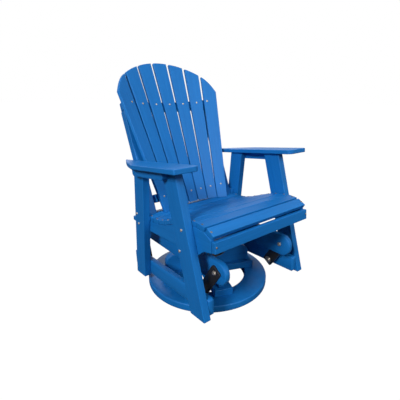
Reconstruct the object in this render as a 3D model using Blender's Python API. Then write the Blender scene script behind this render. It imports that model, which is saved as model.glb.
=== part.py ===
"""Swivel glider chair in poly lumber. Metres, +Z up, the sitter faces -Y and the sitter's left is +X.

The base stands still, the glider frame turns on it about the swivel axis, the swing arms hang from the
glider frame's rails, and the chair hangs from the swing arms. The chair is drawn square in its own frame,
whose origin is the front lower pivot, and that frame is pitched back a little, as the empty chair hangs.
"""
import math

import bmesh
import bpy
from mathutils import Matrix, Vector

# Fits and finish
CLEARANCE = 0.0003
WELD_DISTANCE = 0.000003
OVERRUN = 0.004
EDGE_ROUND = 0.003
SLAT_EDGE_ROUND = 0.0025
EDGE_ANGLE_DEG = 40.0
EDGE_STEPS = 1
ARC_STEP_DEG = 18.0

# Swivel axis and base
SWIVEL_Y = -0.0178
BASE_TURN_DEG = -21.0
RING_OVERHANG = 0.121
RING_HOLE_OVERHANG = 0.009
RING_THICKNESS = 0.036
RING_EDGE_ROUND = 0.007
RING_ARC_STEP_DEG = 45.0
RING_SEGMENTS = 60
PLANK_WIDTH = 0.089
PLANK_THICKNESS = 0.036
PLANK_OVERHANG = 0.057
RISER_THICKNESS = 0.038
RISER_HEIGHT = 0.089
RISER_OVERHANG = 0.037
RISER_CORNER_ROUND = 0.045

# Ball-race swivel
SWIVEL_FLANGE_RADIUS = 0.095
SWIVEL_HOLE_RADIUS = 0.012
SWIVEL_SHEET = 0.003
SWIVEL_RUNNING_GAP = 0.0008
SWIVEL_HEIGHT = 0.035
SWIVEL_CUP_RADIUS = 0.072
SWIVEL_LIP_WIDTH = 0.0075
SWIVEL_RACE_WIDTH = 0.0225
SWIVEL_BALL_RADIUS = 0.005
SWIVEL_BALL_CIRCLE = 0.056
SWIVEL_BALL_COUNT = 12
BALL_CAGE_WIDTH = 0.007
BALL_CAGE_THICKNESS = 0.004
SWIVEL_SEGMENTS = 32
BALL_SEGMENTS = 6
BALL_RINGS = 5

# Glider frame
RAIL_THICKNESS = 0.025
RAIL_HEIGHT = 0.098
RAIL_PIVOT_RISE = 0.051
RAIL_PIVOT_Y = -0.3055
RAIL_END_REACH = 0.056
RAIL_CORNER_ROUND = 0.046
CROSS_WIDTH = 0.089
CROSS_THICKNESS = 0.036
CROSS_OFFSET = 0.070

# Swing arms
ARM_REACH = 0.1469
ARM_SLANT_DEG = 32.07
ARM_PLATE_WIDTH = 0.054
ARM_PLATE_END = 0.020
ARM_PLATE_CORNER_ROUND = 0.009
ARM_PLATE_THICKNESS = 0.008
ARM_PLATE_EDGE_ROUND = 0.001
PIVOT_RUNNING_GAP = 0.0005
PIVOT_SPACE = 0.0325
OPEN_PIVOT_RADIUS = 0.0105

# Pivot bolts
BOLT_RADIUS = 0.005
BOLT_HEAD_RADIUS = 0.010
BOLT_HEAD_THICKNESS = 0.0065
BOLT_SIDES = 12
SLEEVE_RADIUS = 0.017
NUT_FLANGE_RADIUS = 0.0165
NUT_FLANGE_THICKNESS = 0.002

# Chair frame
CHAIR_PITCH_DEG = 2.7
LOWER_PIVOT_SPAN = 0.4600
REAR_PIVOT_RISE = 0.0042
STRETCHER_THICKNESS = 0.0277
STRETCHER_HEIGHT = 0.073
STRETCHER_TOP_RISE = 0.0385
STRETCHER_FRONT = 0.1170
STRETCHER_REAR_REACH = 0.0200
STRETCHER_NOSE_ROUND = 0.012
STRETCHER_CORNER_ROUND = 0.006
LEG_THICKNESS = 0.033
LEG_FOOT_DROP = 0.042
LEG_CORNER_ROUND = 0.004
FRONT_LEG_FOOT_Y = -0.1325
FRONT_LEG_LEAN_DEG = 15.18
FRONT_LEG_WIDTH = 0.0872
REAR_LEG_SETBACK = 0.1300
REAR_LEG_LEAN_DEG = -7.03
REAR_LEG_WIDTH = 0.0804

# Seat, whose slats' length sets the chair's width
SEAT_HALF_LENGTH = 0.275
SEAT_END_INSET = 0.0017
APRON_END_INSET = 0.0015
NOSE_END_INSET = 0.0030
SEAT_SIDE_THICKNESS = 0.0187
SEAT_SIDE_LOW_FRONT = (-0.0612, 0.2079)
SEAT_SIDE_STEP = (-0.0960, 0.2352)
SEAT_SIDE_STEP_ROUND = 0.028
SEAT_SIDE_CORNER_ROUND = 0.010
SEAT_SIDE_LOW = 0.1955
SEAT_SIDE_HEEL_RUN = 0.0079
SEAT_SIDE_REAR_TOP = 0.2955
SEAT_BOARD_THICKNESS = 0.020
SEAT_BOARD_GAP = 0.0042
SEAT_STOP_SHORT = 0.0304
NOSE_WIDTH = 0.0440
APRON_HEIGHT = 0.0445
APRON_TOP = (-0.1575, 0.2900)
APRON_LEAN_DEG = -4.5
NOSE_REAR_TOP = (-0.1120, 0.3327)
NOSE_TILT_DEG = 29.8
SLAT_FRONT_TOP = (-0.1020, 0.3340)
SLAT_TILTS_DEG = (6.5, -4.4, -9.0, -16.6, -18.4, -18.6, -13.6, -4.6, 8.6)
REAR_SLAT_NOTCH_GAP = 0.001

# Back, in a frame that leans with it: x across, n to the rear of the slats, w up the slope
BACK_FOOT_SETBACK = 0.1357
BACK_FOOT_Z = 0.2701
BACK_RECLINE_DEG = 20.5
BACK_SLAT_COUNT = 7
BACK_SLAT_THICKNESS = 0.0155
BACK_SLAT_GAP = 0.0142
BACK_SLAT_FOOT_GAP = 0.0092
BACK_APEX_DEPTH = 1.216
BACK_PITCH_SHARE = 0.2047
BACK_CUP_SHARE = 0.4405
BACK_HEIGHT = 0.7350
BACK_ARCH_RADIUS = 0.367
BACK_END_DROP = 0.030
BACK_ARCH_STEPS = 5
BACK_FOOT_GAP = 0.0010
BACK_SLAT_SPARE = 0.030
POST_WIDTH = 0.0355
POST_DEPTH = 0.038
POST_LOW = -0.065
UPPER_BRACE_DROP = 0.236
UPPER_BRACE_HEIGHT = 0.038
UPPER_BRACE_OVERHANG = 0.0010
UPPER_BRACE_MID_DEPTH = 0.058
UPPER_BRACE_END_DEPTH = 0.036
UPPER_BRACE_END_ROUND = 0.014
UPPER_BRACE_ARC_STEPS = 10
LOWER_BRACE_LOW = 0.047
LOWER_BRACE_HEIGHT = 0.038
LOWER_BRACE_DEPTH = 0.048
REAR_BATTEN_SIZE = 0.020
REAR_BATTEN_Z = 0.2450

# Arms, in a frame that slopes with them: x across, s from the front edge to the rear
ARM_FRONT_TOP = (-0.0663, 0.5499)
ARM_SLOPE_DEG = 4.36
ARM_THICKNESS = 0.0195
ARM_FRONT_INSET = 0.0555
ARM_REAR_INSET = 0.0480
ARM_OVERHANG = 0.0580
ARM_TAPER_START = 0.3195
ARM_WAIST_OVERHANG = 0.0260
ARM_WAIST_RUN = 0.4170
ARM_HEEL_INSET = 0.0080
ARM_HEEL_RUN = 0.5020
ARM_TIP_INSET = 0.0410
ARM_LENGTH = 0.5745
ARM_FRONT_ROUND = 0.006
ARM_FRONT_INNER_ROUND = 0.026
ARM_SIDE_ROUND = 0.060
ARM_TIP_ROUND = 0.003
ARM_EDGE_ROUND = 0.004
CLEAT_THICKNESS = 0.0275
CLEAT_HEIGHT = 0.035
CLEAT_START = 0.130
CLEAT_REAR_LAP = 0.0480
CLEAT_NOSE_ROUND = 0.016

SIDES = (("left", 1), ("right", -1))
RING_TOP = RING_THICKNESS
PLANK_BOTTOM = RING_TOP + CLEARANCE
PLANK_TOP = PLANK_BOTTOM + PLANK_THICKNESS
RISER_BOTTOM = PLANK_TOP + CLEARANCE
RISER_TOP = RISER_BOTTOM + RISER_HEIGHT
SWIVEL_BOTTOM = RISER_TOP + CLEARANCE
SWIVEL_TOP = SWIVEL_BOTTOM + SWIVEL_HEIGHT
RAIL_BOTTOM = SWIVEL_TOP + CLEARANCE
STRETCHER_OUTER_X = SEAT_HALF_LENGTH + SEAT_END_INSET
STRETCHER_INNER_X = STRETCHER_OUTER_X - STRETCHER_THICKNESS
PLATE_OUTER_X = STRETCHER_INNER_X - PIVOT_SPACE
PLATE_INNER_X = PLATE_OUTER_X - ARM_PLATE_THICKNESS
RAIL_OUTER_X = PLATE_INNER_X - PIVOT_RUNNING_GAP
RAIL_INNER_X = RAIL_OUTER_X - RAIL_THICKNESS
RING_RADIUS = RAIL_INNER_X + RING_OVERHANG
RING_INNER_RADIUS = RAIL_INNER_X + RING_HOLE_OVERHANG
PLANK_REACH = RAIL_INNER_X + PLANK_OVERHANG
RISER_REACH = RAIL_INNER_X + RISER_OVERHANG
LEG_INNER_X = STRETCHER_OUTER_X + CLEARANCE
LEG_OUTER_X = LEG_INNER_X + LEG_THICKNESS
SEAT_SIDE_INNER_X = STRETCHER_OUTER_X - SEAT_SIDE_THICKNESS
POST_OUTER_X = SEAT_SIDE_INNER_X - CLEARANCE
POST_INNER_X = POST_OUTER_X - POST_WIDTH
PIVOT_Z = RAIL_BOTTOM + RAIL_PIVOT_RISE
REAR_LEG_FOOT_Y = LOWER_PIVOT_SPAN - REAR_LEG_SETBACK
SEAT_RUN = LOWER_PIVOT_SPAN - SEAT_STOP_SHORT
SEAT_BOARD_WIDTH = (SEAT_RUN + SEAT_BOARD_GAP) / len(SLAT_TILTS_DEG) - SEAT_BOARD_GAP
BACK_FOOT = (LOWER_PIVOT_SPAN - BACK_FOOT_SETBACK, BACK_FOOT_Z)
BACK_FAN_SHARE = BACK_PITCH_SHARE * SEAT_HALF_LENGTH / BACK_APEX_DEPTH
BACK_ARCH_CENTRE = BACK_HEIGHT - BACK_ARCH_RADIUS
UPPER_BRACE_LOW = BACK_HEIGHT - UPPER_BRACE_DROP

BLUE = (0.018, 0.150, 0.456, 1.0)
BLACK = (0.012, 0.012, 0.014, 1.0)
STEEL = (0.560, 0.500, 0.420, 1.0)
ZINC = (0.480, 0.490, 0.500, 1.0)


def clear_scene():
    """Take every object out of the scene."""
    for item in list(bpy.data.objects):
        bpy.data.objects.remove(item, do_unlink=True)


def finish(name, colour, roughness, metallic):
    """Return a Principled material."""
    material = bpy.data.materials.new(name)
    material.use_nodes = True
    shader = material.node_tree.nodes["Principled BSDF"]
    shader.inputs["Base Color"].default_value = colour
    shader.inputs["Roughness"].default_value = roughness
    shader.inputs["Metallic"].default_value = metallic
    return material


def empty(name, parent, location=(0, 0, 0), turn_x=0.0, turn_z=0.0):
    """Return an empty that carries pieces."""
    item = bpy.data.objects.new(name, None)
    bpy.context.scene.collection.objects.link(item)
    item.parent = parent
    item.location = location
    item.rotation_euler = (turn_x, 0, turn_z)
    return item


def piece(name, mesh_builder, parent, material):
    """Return a new object whose mesh is closed, outward and carried by its parent."""
    bmesh.ops.remove_doubles(mesh_builder, verts=mesh_builder.verts, dist=WELD_DISTANCE)
    bmesh.ops.recalc_face_normals(mesh_builder, faces=mesh_builder.faces)
    mesh = bpy.data.meshes.new(name)
    mesh_builder.to_mesh(mesh)
    mesh_builder.free()
    item = bpy.data.objects.new(name, mesh)
    item.data.materials.append(material)
    bpy.context.scene.collection.objects.link(item)
    item.parent = parent
    return item


def smooth(item):
    """Shade a round piece smooth, with its edges kept crisp."""
    item.data.shade_smooth()
    item.data.set_sharp_from_angle(angle=math.radians(EDGE_ANGLE_DEG))
    return item


def round_edges(item, width):
    """Round the sharp edges of a board, as a router bit does."""
    bevel = item.modifiers.new("edge_round", "BEVEL")
    bevel.width = width
    bevel.segments = EDGE_STEPS
    bevel.limit_method = "ANGLE"
    bevel.angle_limit = math.radians(EDGE_ANGLE_DEG)
    return item


def turned_vector(vector, angle):
    """Return a flat vector turned by an angle."""
    return Matrix.Rotation(angle, 2) @ vector


def fillet(corners, step_deg=ARC_STEP_DEG):
    """Return an outline from corners (a, b, radius); a corner with a radius becomes an arc."""
    points = []
    for index, (a, b, radius) in enumerate(corners):
        here = Vector((a, b))
        if radius == 0:
            points.append(here)
            continue
        back = (Vector(corners[index - 1][:2]) - here).normalized()
        ahead = (Vector(corners[(index + 1) % len(corners)][:2]) - here).normalized()
        half = back.angle(ahead) / 2
        centre = here + (back + ahead).normalized() * (radius / math.sin(half))
        start = here + back * (radius / math.tan(half)) - centre
        sweep = math.pi - 2 * half
        bend = 1 if ahead.cross(back) > 0 else -1
        steps = max(1, round(math.degrees(sweep) / step_deg))
        points += [centre + turned_vector(start, bend * sweep * step / steps) for step in range(steps + 1)]
    return points


def pushed(outline, start, stop, axis):
    """Push a flat outline along an axis. The outline is (y, z) for X, (x, z) for Y and (x, y) for Z."""
    spots = {
        "X": lambda a, b: (start, a, b),
        "Y": lambda a, b: (a, start, b),
        "Z": lambda a, b: (a, b, start),
    }
    builder = bmesh.new()
    face = builder.faces.new([builder.verts.new(spots[axis](*point[:2])) for point in outline])
    grown = bmesh.ops.extrude_face_region(builder, geom=[face])["geom"]
    offset = Vector([stop - start if letter == axis else 0 for letter in "XYZ"])
    bmesh.ops.translate(builder, vec=offset, verts=[v for v in grown if isinstance(v, bmesh.types.BMVert)])
    return builder


def prism(name, outline, start, stop, axis, parent, material):
    """Return a board pushed from its outline."""
    return piece(name, pushed(outline, start, stop, axis), parent, material)


def block(name, low, high, parent, material):
    """Return a plain board between two corners."""
    outline = ((low[0], low[1]), (high[0], low[1]), (high[0], high[1]), (low[0], high[1]))
    return prism(name, outline, low[2], high[2], "Z", parent, material)


def turn(builder, profile, sides, matrix, closed=False):
    """Add a solid turned from a profile (radius, height) about the local Z axis of a matrix."""
    ring = [builder.verts.new((radius, 0, height)) for radius, height in profile]
    pairs = list(zip(ring, ring[1:])) + ([(ring[-1], ring[0])] if closed else [])
    edges = [builder.edges.new(pair) for pair in pairs]
    bmesh.ops.spin(
        builder, geom=ring + edges, cent=(0, 0, 0), axis=(0, 0, 1),
        angle=2 * math.pi, steps=sides, use_merge=True,
    )
    fresh = set(ring)
    for edge in edges:
        for face in edge.link_faces:
            fresh.update(face.verts)
    pending = list(fresh)
    while pending:
        for edge in pending.pop().link_edges:
            for vert in edge.verts:
                if vert not in fresh:
                    fresh.add(vert)
                    pending.append(vert)
    bmesh.ops.transform(builder, matrix=matrix, verts=list(fresh))


def facing(place, direction):
    """Return a matrix at a place whose Z axis points along a direction."""
    return Matrix.Translation(place) @ Vector(direction).to_track_quat("Z", "Y").to_matrix().to_4x4()


def turned_piece(name, matrix, profile, sides, parent, material, closed=False):
    """Return one round solid, such as a bolt."""
    builder = bmesh.new()
    turn(builder, profile, sides, matrix, closed)
    return smooth(piece(name, builder, parent, material))


def drill(name, matrices, profile, sides, parent, boards):
    """Cut turned holes into the boards."""
    builder = bmesh.new()
    for matrix in matrices:
        turn(builder, profile, sides, matrix)
    cutter = piece(name, builder, parent, None)
    cutter.hide_render = True
    cutter.display_type = "WIRE"
    for board in boards:
        hole = board.modifiers.new(name, "BOOLEAN")
        hole.operation = "DIFFERENCE"
        hole.solver = "EXACT"
        hole.object = cutter


def rod(radius, low, high):
    """Return the profile of a plain rod."""
    return ((0, low), (radius, low), (radius, high), (0, high))


def hung(point, pitch):
    """Return a point of the chair's own frame, turned by its pitch."""
    return Vector((point[0] * math.cos(pitch) + point[1] * math.sin(pitch),
                   point[1] * math.cos(pitch) - point[0] * math.sin(pitch)))


def linkage():
    """Work out the rest places of the pivots in the side view."""
    pitch = math.radians(CHAIR_PITCH_DEG)
    slant = math.radians(ARM_SLANT_DEG)
    front_upper = Vector((RAIL_PIVOT_Y, PIVOT_Z))
    front_lower = front_upper + ARM_REACH * Vector((math.sin(slant), -math.cos(slant)))
    rear_lower = front_lower + hung((LOWER_PIVOT_SPAN, REAR_PIVOT_RISE), pitch)
    rear_slant = math.acos((PIVOT_Z - rear_lower.y) / ARM_REACH)
    rear_upper = rear_lower + ARM_REACH * Vector((math.sin(rear_slant), math.cos(rear_slant)))
    return front_upper, front_lower, rear_upper, slant, -rear_slant


def build_base(parent, blue):
    """Make the ring, the plank cross and the risers that carry the swivel."""
    turn_frame = empty("base_turn", parent, turn_z=math.radians(BASE_TURN_DEG))
    corner = RING_EDGE_ROUND
    section = fillet((
        (RING_INNER_RADIUS, 0, corner), (RING_RADIUS, 0, corner),
        (RING_RADIUS, RING_THICKNESS, corner), (RING_INNER_RADIUS, RING_THICKNESS, corner),
    ), RING_ARC_STEP_DEG)
    builder = bmesh.new()
    turn(builder, section, RING_SEGMENTS, Matrix.Identity(4), closed=True)
    smooth(piece("base_ring", builder, turn_frame, blue))
    half = PLANK_WIDTH / 2
    inner = half + CLEARANCE
    for name, low, high in (
        ("base_plank_long", (-half, -PLANK_REACH), (half, PLANK_REACH)),
        ("base_plank_left", (inner, -half), (PLANK_REACH, half)),
        ("base_plank_right", (-PLANK_REACH, -half), (-inner, half)),
    ):
        plank = block(name, (*low, PLANK_BOTTOM), (*high, PLANK_TOP), turn_frame, blue)
        round_edges(plank, EDGE_ROUND)
    build_risers(turn_frame, blue)


def build_risers(parent, blue):
    """Make the two boards on edge that cross over the planks, each notched halfway to take the other."""
    half = RISER_THICKNESS / 2
    notch = half + CLEARANCE
    middle = (RISER_BOTTOM + RISER_TOP) / 2
    top_round = RISER_CORNER_ROUND
    cross = fillet((
        (-RISER_REACH, RISER_BOTTOM, 0), (-notch, RISER_BOTTOM, 0), (-notch, middle + CLEARANCE, 0),
        (notch, middle + CLEARANCE, 0), (notch, RISER_BOTTOM, 0), (RISER_REACH, RISER_BOTTOM, 0),
        (RISER_REACH, RISER_TOP, top_round), (-RISER_REACH, RISER_TOP, top_round),
    ))
    long = fillet((
        (-RISER_REACH, RISER_BOTTOM, 0), (RISER_REACH, RISER_BOTTOM, 0),
        (RISER_REACH, RISER_TOP, top_round), (notch, RISER_TOP, 0), (notch, middle, 0),
        (-notch, middle, 0), (-notch, RISER_TOP, 0), (-RISER_REACH, RISER_TOP, top_round),
    ))
    round_edges(prism("riser_cross", cross, -half, half, "Y", parent, blue), EDGE_ROUND)
    round_edges(prism("riser_long", long, -half, half, "X", parent, blue), EDGE_ROUND)


def build_swivel(base_parent, glider_parent, zinc, steel):
    """Make the two plates of the swivel, one caught under the lip of the other, and the balls between."""
    sheet = SWIVEL_SHEET
    cup_inner = SWIVEL_CUP_RADIUS - sheet
    lip_inner = SWIVEL_CUP_RADIUS - SWIVEL_LIP_WIDTH
    race_floor = SWIVEL_BOTTOM + sheet
    race_roof = race_floor + 2 * (SWIVEL_BALL_RADIUS + CLEARANCE)
    lip_bottom = race_roof + sheet + CLEARANCE
    lower = (
        (SWIVEL_HOLE_RADIUS, SWIVEL_BOTTOM), (SWIVEL_FLANGE_RADIUS, SWIVEL_BOTTOM),
        (SWIVEL_FLANGE_RADIUS, race_floor), (SWIVEL_CUP_RADIUS, race_floor),
        (SWIVEL_CUP_RADIUS, lip_bottom + sheet), (lip_inner, lip_bottom + sheet),
        (lip_inner, lip_bottom), (cup_inner, lip_bottom), (cup_inner, race_floor),
        (SWIVEL_HOLE_RADIUS, race_floor),
    )
    neck = lip_inner - SWIVEL_RUNNING_GAP
    race_edge = cup_inner - SWIVEL_RUNNING_GAP
    upper = (
        (race_edge - SWIVEL_RACE_WIDTH, race_roof), (race_edge, race_roof), (race_edge, race_roof + sheet),
        (neck, race_roof + sheet), (neck, SWIVEL_TOP - sheet), (SWIVEL_FLANGE_RADIUS, SWIVEL_TOP - sheet),
        (SWIVEL_FLANGE_RADIUS, SWIVEL_TOP), (SWIVEL_HOLE_RADIUS, SWIVEL_TOP),
        (SWIVEL_HOLE_RADIUS, SWIVEL_TOP - sheet), (neck - sheet, SWIVEL_TOP - sheet),
        (neck - sheet, race_roof + sheet), (race_edge - SWIVEL_RACE_WIDTH, race_roof + sheet),
    )
    for name, section, carrier in (
        ("swivel_lower_plate", lower, base_parent), ("swivel_upper_plate", upper, glider_parent),
    ):
        builder = bmesh.new()
        turn(builder, section, SWIVEL_SEGMENTS, Matrix.Identity(4), closed=True)
        smooth(piece(name, builder, carrier, zinc))
    level = race_floor + SWIVEL_BALL_RADIUS + CLEARANCE
    builder = bmesh.new()
    for number in range(SWIVEL_BALL_COUNT):
        spot = Matrix.Rotation(2 * math.pi * number / SWIVEL_BALL_COUNT, 4, "Z") @ Matrix.Translation(
            (SWIVEL_BALL_CIRCLE, 0, level)
        )
        bmesh.ops.create_uvsphere(
            builder, u_segments=BALL_SEGMENTS, v_segments=BALL_RINGS, radius=SWIVEL_BALL_RADIUS, matrix=spot
        )
    balls = piece("swivel_balls", builder, base_parent, steel)
    balls.hide_render = True
    balls.display_type = "WIRE"
    inner, outer = SWIVEL_BALL_CIRCLE - BALL_CAGE_WIDTH / 2, SWIVEL_BALL_CIRCLE + BALL_CAGE_WIDTH / 2
    low, high = level - BALL_CAGE_THICKNESS / 2, level + BALL_CAGE_THICKNESS / 2
    section = ((inner, low), (outer, low), (outer, high), (inner, high))
    cage = turned_piece(
        "swivel_ball_cage", Matrix.Identity(4), section, SWIVEL_SEGMENTS, base_parent, steel, closed=True
    )
    held = cage.modifiers.new("balls", "BOOLEAN")
    held.operation = "UNION"
    held.solver = "EXACT"
    held.object = balls


def build_glider_frame(parent, front_upper, rear_upper, blue, steel):
    """Make the two rails, the boards between them and the bolts that the swing arms turn on."""
    rail_top = RAIL_BOTTOM + RAIL_HEIGHT
    front = front_upper.x - RAIL_END_REACH
    rear = rear_upper.x + RAIL_END_REACH
    outline = fillet((
        (front, RAIL_BOTTOM, RAIL_CORNER_ROUND), (rear, RAIL_BOTTOM, RAIL_CORNER_ROUND),
        (rear, rail_top, RAIL_CORNER_ROUND), (front, rail_top, RAIL_CORNER_ROUND),
    ))
    rails = []
    for side_name, side in SIDES:
        name = "glider_rail_" + side_name
        rail = prism(name, outline, side * RAIL_INNER_X, side * RAIL_OUTER_X, "X", parent, blue)
        rails.append(round_edges(rail, EDGE_ROUND))
    for name, way in (("frame_cross_front", -1), ("frame_cross_rear", 1)):
        centre = way * CROSS_OFFSET
        low = (-RAIL_INNER_X + CLEARANCE, centre - CROSS_WIDTH / 2, RAIL_BOTTOM)
        high = (RAIL_INNER_X - CLEARANCE, centre + CROSS_WIDTH / 2, RAIL_BOTTOM + CROSS_THICKNESS)
        round_edges(block(name, low, high, parent, blue), EDGE_ROUND)
    head = PLATE_OUTER_X + CLEARANCE
    reach = head - RAIL_INNER_X + CLEARANCE
    profile = (
        (0, -reach - BOLT_HEAD_THICKNESS), (BOLT_HEAD_RADIUS, -reach - BOLT_HEAD_THICKNESS),
        (BOLT_HEAD_RADIUS, -reach), (BOLT_RADIUS, -reach), (BOLT_RADIUS, 0), (BOLT_HEAD_RADIUS, 0),
        (BOLT_HEAD_RADIUS, BOLT_HEAD_THICKNESS), (0, BOLT_HEAD_THICKNESS),
    )
    matrices = []
    for end_name, pivot in (("front", front_upper), ("rear", rear_upper)):
        for side_name, side in SIDES:
            matrix = facing((side * head, pivot.x, pivot.y), (side, 0, 0))
            name = "upper_pivot_bolt_" + end_name + "_" + side_name
            turned_piece(name, matrix, profile, BOLT_SIDES, parent, steel)
            matrices.append(matrix)
    hole = rod(BOLT_RADIUS + CLEARANCE, -reach - OVERRUN, OVERRUN)
    drill("rail_holes", matrices, hole, BOLT_SIDES, parent, rails)


def build_swing_arms(pivots, black):
    """Make the four plates: each hangs from its upper pivot, and the rear ones are slotted wide below."""
    half, corner = ARM_PLATE_WIDTH / 2, ARM_PLATE_CORNER_ROUND
    outline = fillet((
        (-half, ARM_PLATE_END, corner), (-half, -ARM_REACH - ARM_PLATE_END, corner),
        (half, -ARM_REACH - ARM_PLATE_END, corner), (half, ARM_PLATE_END, corner),
    ))
    for end_name, pivot, lower_radius in (
        ("front", pivots[0], BOLT_RADIUS + CLEARANCE), ("rear", pivots[1], OPEN_PIVOT_RADIUS),
    ):
        for side_name, side in SIDES:
            name = "swing_arm_" + end_name + "_" + side_name
            plate = prism(name, outline, side * PLATE_INNER_X, side * PLATE_OUTER_X, "X", pivot, black)
            round_edges(plate, ARM_PLATE_EDGE_ROUND)
            for hole_name, drop, radius in (
                ("_upper_hole", 0, BOLT_RADIUS + CLEARANCE), ("_lower_hole", ARM_REACH, lower_radius),
            ):
                matrix = facing((side * PLATE_OUTER_X, 0, -drop), (side, 0, 0))
                hole = rod(radius, -ARM_PLATE_THICKNESS - OVERRUN, OVERRUN)
                drill(name + hole_name, [matrix], hole, BOLT_SIDES, pivot, [plate])


def build_stretchers(parent, blue, steel):
    """Make the lower side boards and the pivot bolts, whose heads are sunk in the boards' outer faces."""
    rear = LOWER_PIVOT_SPAN + STRETCHER_REAR_REACH
    bottom = STRETCHER_TOP_RISE - STRETCHER_HEIGHT
    outline = fillet((
        (-STRETCHER_FRONT, bottom, STRETCHER_CORNER_ROUND), (rear, bottom, STRETCHER_CORNER_ROUND),
        (rear, STRETCHER_TOP_RISE, STRETCHER_CORNER_ROUND),
        (-STRETCHER_FRONT, STRETCHER_TOP_RISE, STRETCHER_NOSE_ROUND),
    ))
    boards = []
    for side_name, side in SIDES:
        name = "stretcher_" + side_name
        board = prism(name, outline, side * STRETCHER_INNER_X, side * STRETCHER_OUTER_X, "X", parent, blue)
        boards.append(round_edges(board, EDGE_ROUND))
    seat = STRETCHER_OUTER_X - BOLT_HEAD_THICKNESS - CLEARANCE
    reach = seat - PLATE_INNER_X + CLEARANCE
    flange = reach + NUT_FLANGE_THICKNESS
    nut = flange + BOLT_HEAD_THICKNESS
    sleeve_high = seat - STRETCHER_INNER_X + CLEARANCE
    sleeve_low = seat - PLATE_OUTER_X - CLEARANCE
    profile = (
        (0, -nut), (BOLT_HEAD_RADIUS, -nut), (BOLT_HEAD_RADIUS, -flange), (NUT_FLANGE_RADIUS, -flange),
        (NUT_FLANGE_RADIUS, -reach), (BOLT_RADIUS, -reach), (BOLT_RADIUS, -sleeve_low),
        (SLEEVE_RADIUS, -sleeve_low), (SLEEVE_RADIUS, -sleeve_high), (BOLT_RADIUS, -sleeve_high),
        (BOLT_RADIUS, 0), (BOLT_HEAD_RADIUS, 0), (BOLT_HEAD_RADIUS, BOLT_HEAD_THICKNESS),
        (0, BOLT_HEAD_THICKNESS),
    )
    matrices = []
    for end_name, pivot in (("front", (0, 0)), ("rear", (LOWER_PIVOT_SPAN, REAR_PIVOT_RISE))):
        for side_name, side in SIDES:
            matrix = facing((side * seat, *pivot), (side, 0, 0))
            name = "lower_pivot_bolt_" + end_name + "_" + side_name
            turned_piece(name, matrix, profile, BOLT_SIDES, parent, steel)
            matrices.append(matrix)
    hole = rod(BOLT_RADIUS + CLEARANCE, -reach - OVERRUN, OVERRUN)
    drill("stretcher_holes", matrices, hole, BOLT_SIDES, parent, boards)
    recess = rod(BOLT_HEAD_RADIUS + CLEARANCE, -CLEARANCE, BOLT_HEAD_THICKNESS + OVERRUN)
    drill("stretcher_recesses", matrices, recess, BOLT_SIDES, parent, boards)


def leg_edge(foot_y, lean_deg, height):
    """Return the y of a leg's front edge at a height in the chair's frame."""
    return foot_y + (height + LEG_FOOT_DROP) * math.tan(math.radians(lean_deg))


def under_arm(foot_y, lean_deg):
    """Return where a leaning edge meets the underside of the arm."""
    fall = -math.tan(math.radians(ARM_SLOPE_DEG))
    lean = math.tan(math.radians(lean_deg))
    drop = (ARM_THICKNESS + CLEARANCE) / math.cos(math.radians(ARM_SLOPE_DEG))
    level = ARM_FRONT_TOP[1] - drop - fall * ARM_FRONT_TOP[0]
    height = (level + fall * (foot_y + LEG_FOOT_DROP * lean)) / (1 - fall * lean)
    return leg_edge(foot_y, lean_deg, height), height


def build_legs(parent, blue):
    """Make the four legs: feet cut square to the stretchers, tops cut along the arms."""
    for end_name, foot_y, lean, width in (
        ("front", FRONT_LEG_FOOT_Y, FRONT_LEG_LEAN_DEG, FRONT_LEG_WIDTH),
        ("rear", REAR_LEG_FOOT_Y, REAR_LEG_LEAN_DEG, REAR_LEG_WIDTH),
    ):
        heel = foot_y + width / math.cos(math.radians(lean))
        outline = fillet((
            (foot_y, -LEG_FOOT_DROP, LEG_CORNER_ROUND), (heel, -LEG_FOOT_DROP, LEG_CORNER_ROUND),
            (*under_arm(heel, lean), 0), (*under_arm(foot_y, lean), 0),
        ))
        for side_name, side in SIDES:
            name = "leg_" + end_name + "_" + side_name
            leg = prism(name, outline, side * LEG_INNER_X, side * LEG_OUTER_X, "X", parent, blue)
            round_edges(leg, EDGE_ROUND)


def seat_layout():
    """Return each seat board's top front edge (y, z) and tilt, from the nose to the back."""
    nose_tilt = math.radians(NOSE_TILT_DEG)
    nose_run = NOSE_WIDTH * Vector((math.cos(nose_tilt), math.sin(nose_tilt)))
    boards = [(Vector(NOSE_REAR_TOP) - nose_run, nose_tilt)]
    front = Vector(SLAT_FRONT_TOP)
    for index, degrees in enumerate(SLAT_TILTS_DEG):
        tilt = math.radians(degrees)
        heading = Vector((math.cos(tilt), math.sin(tilt)))
        if index:
            front = front + SEAT_BOARD_GAP * heading
        boards.append((front, tilt))
        front = front + SEAT_BOARD_WIDTH * heading
    return boards


def under_board(front, tilt, run):
    """Return a point under a seat board, a clearance below it, at a run from its front edge."""
    drop = SEAT_BOARD_THICKNESS + CLEARANCE
    return front + Vector((math.cos(tilt) * run + math.sin(tilt) * drop,
                           math.sin(tilt) * run - math.cos(tilt) * drop))


def post_front(height):
    """Return the y of the posts' front faces at a height in the chair's frame."""
    return BACK_FOOT[0] + (height - BACK_FOOT[1]) * math.tan(math.radians(BACK_RECLINE_DEG))


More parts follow.
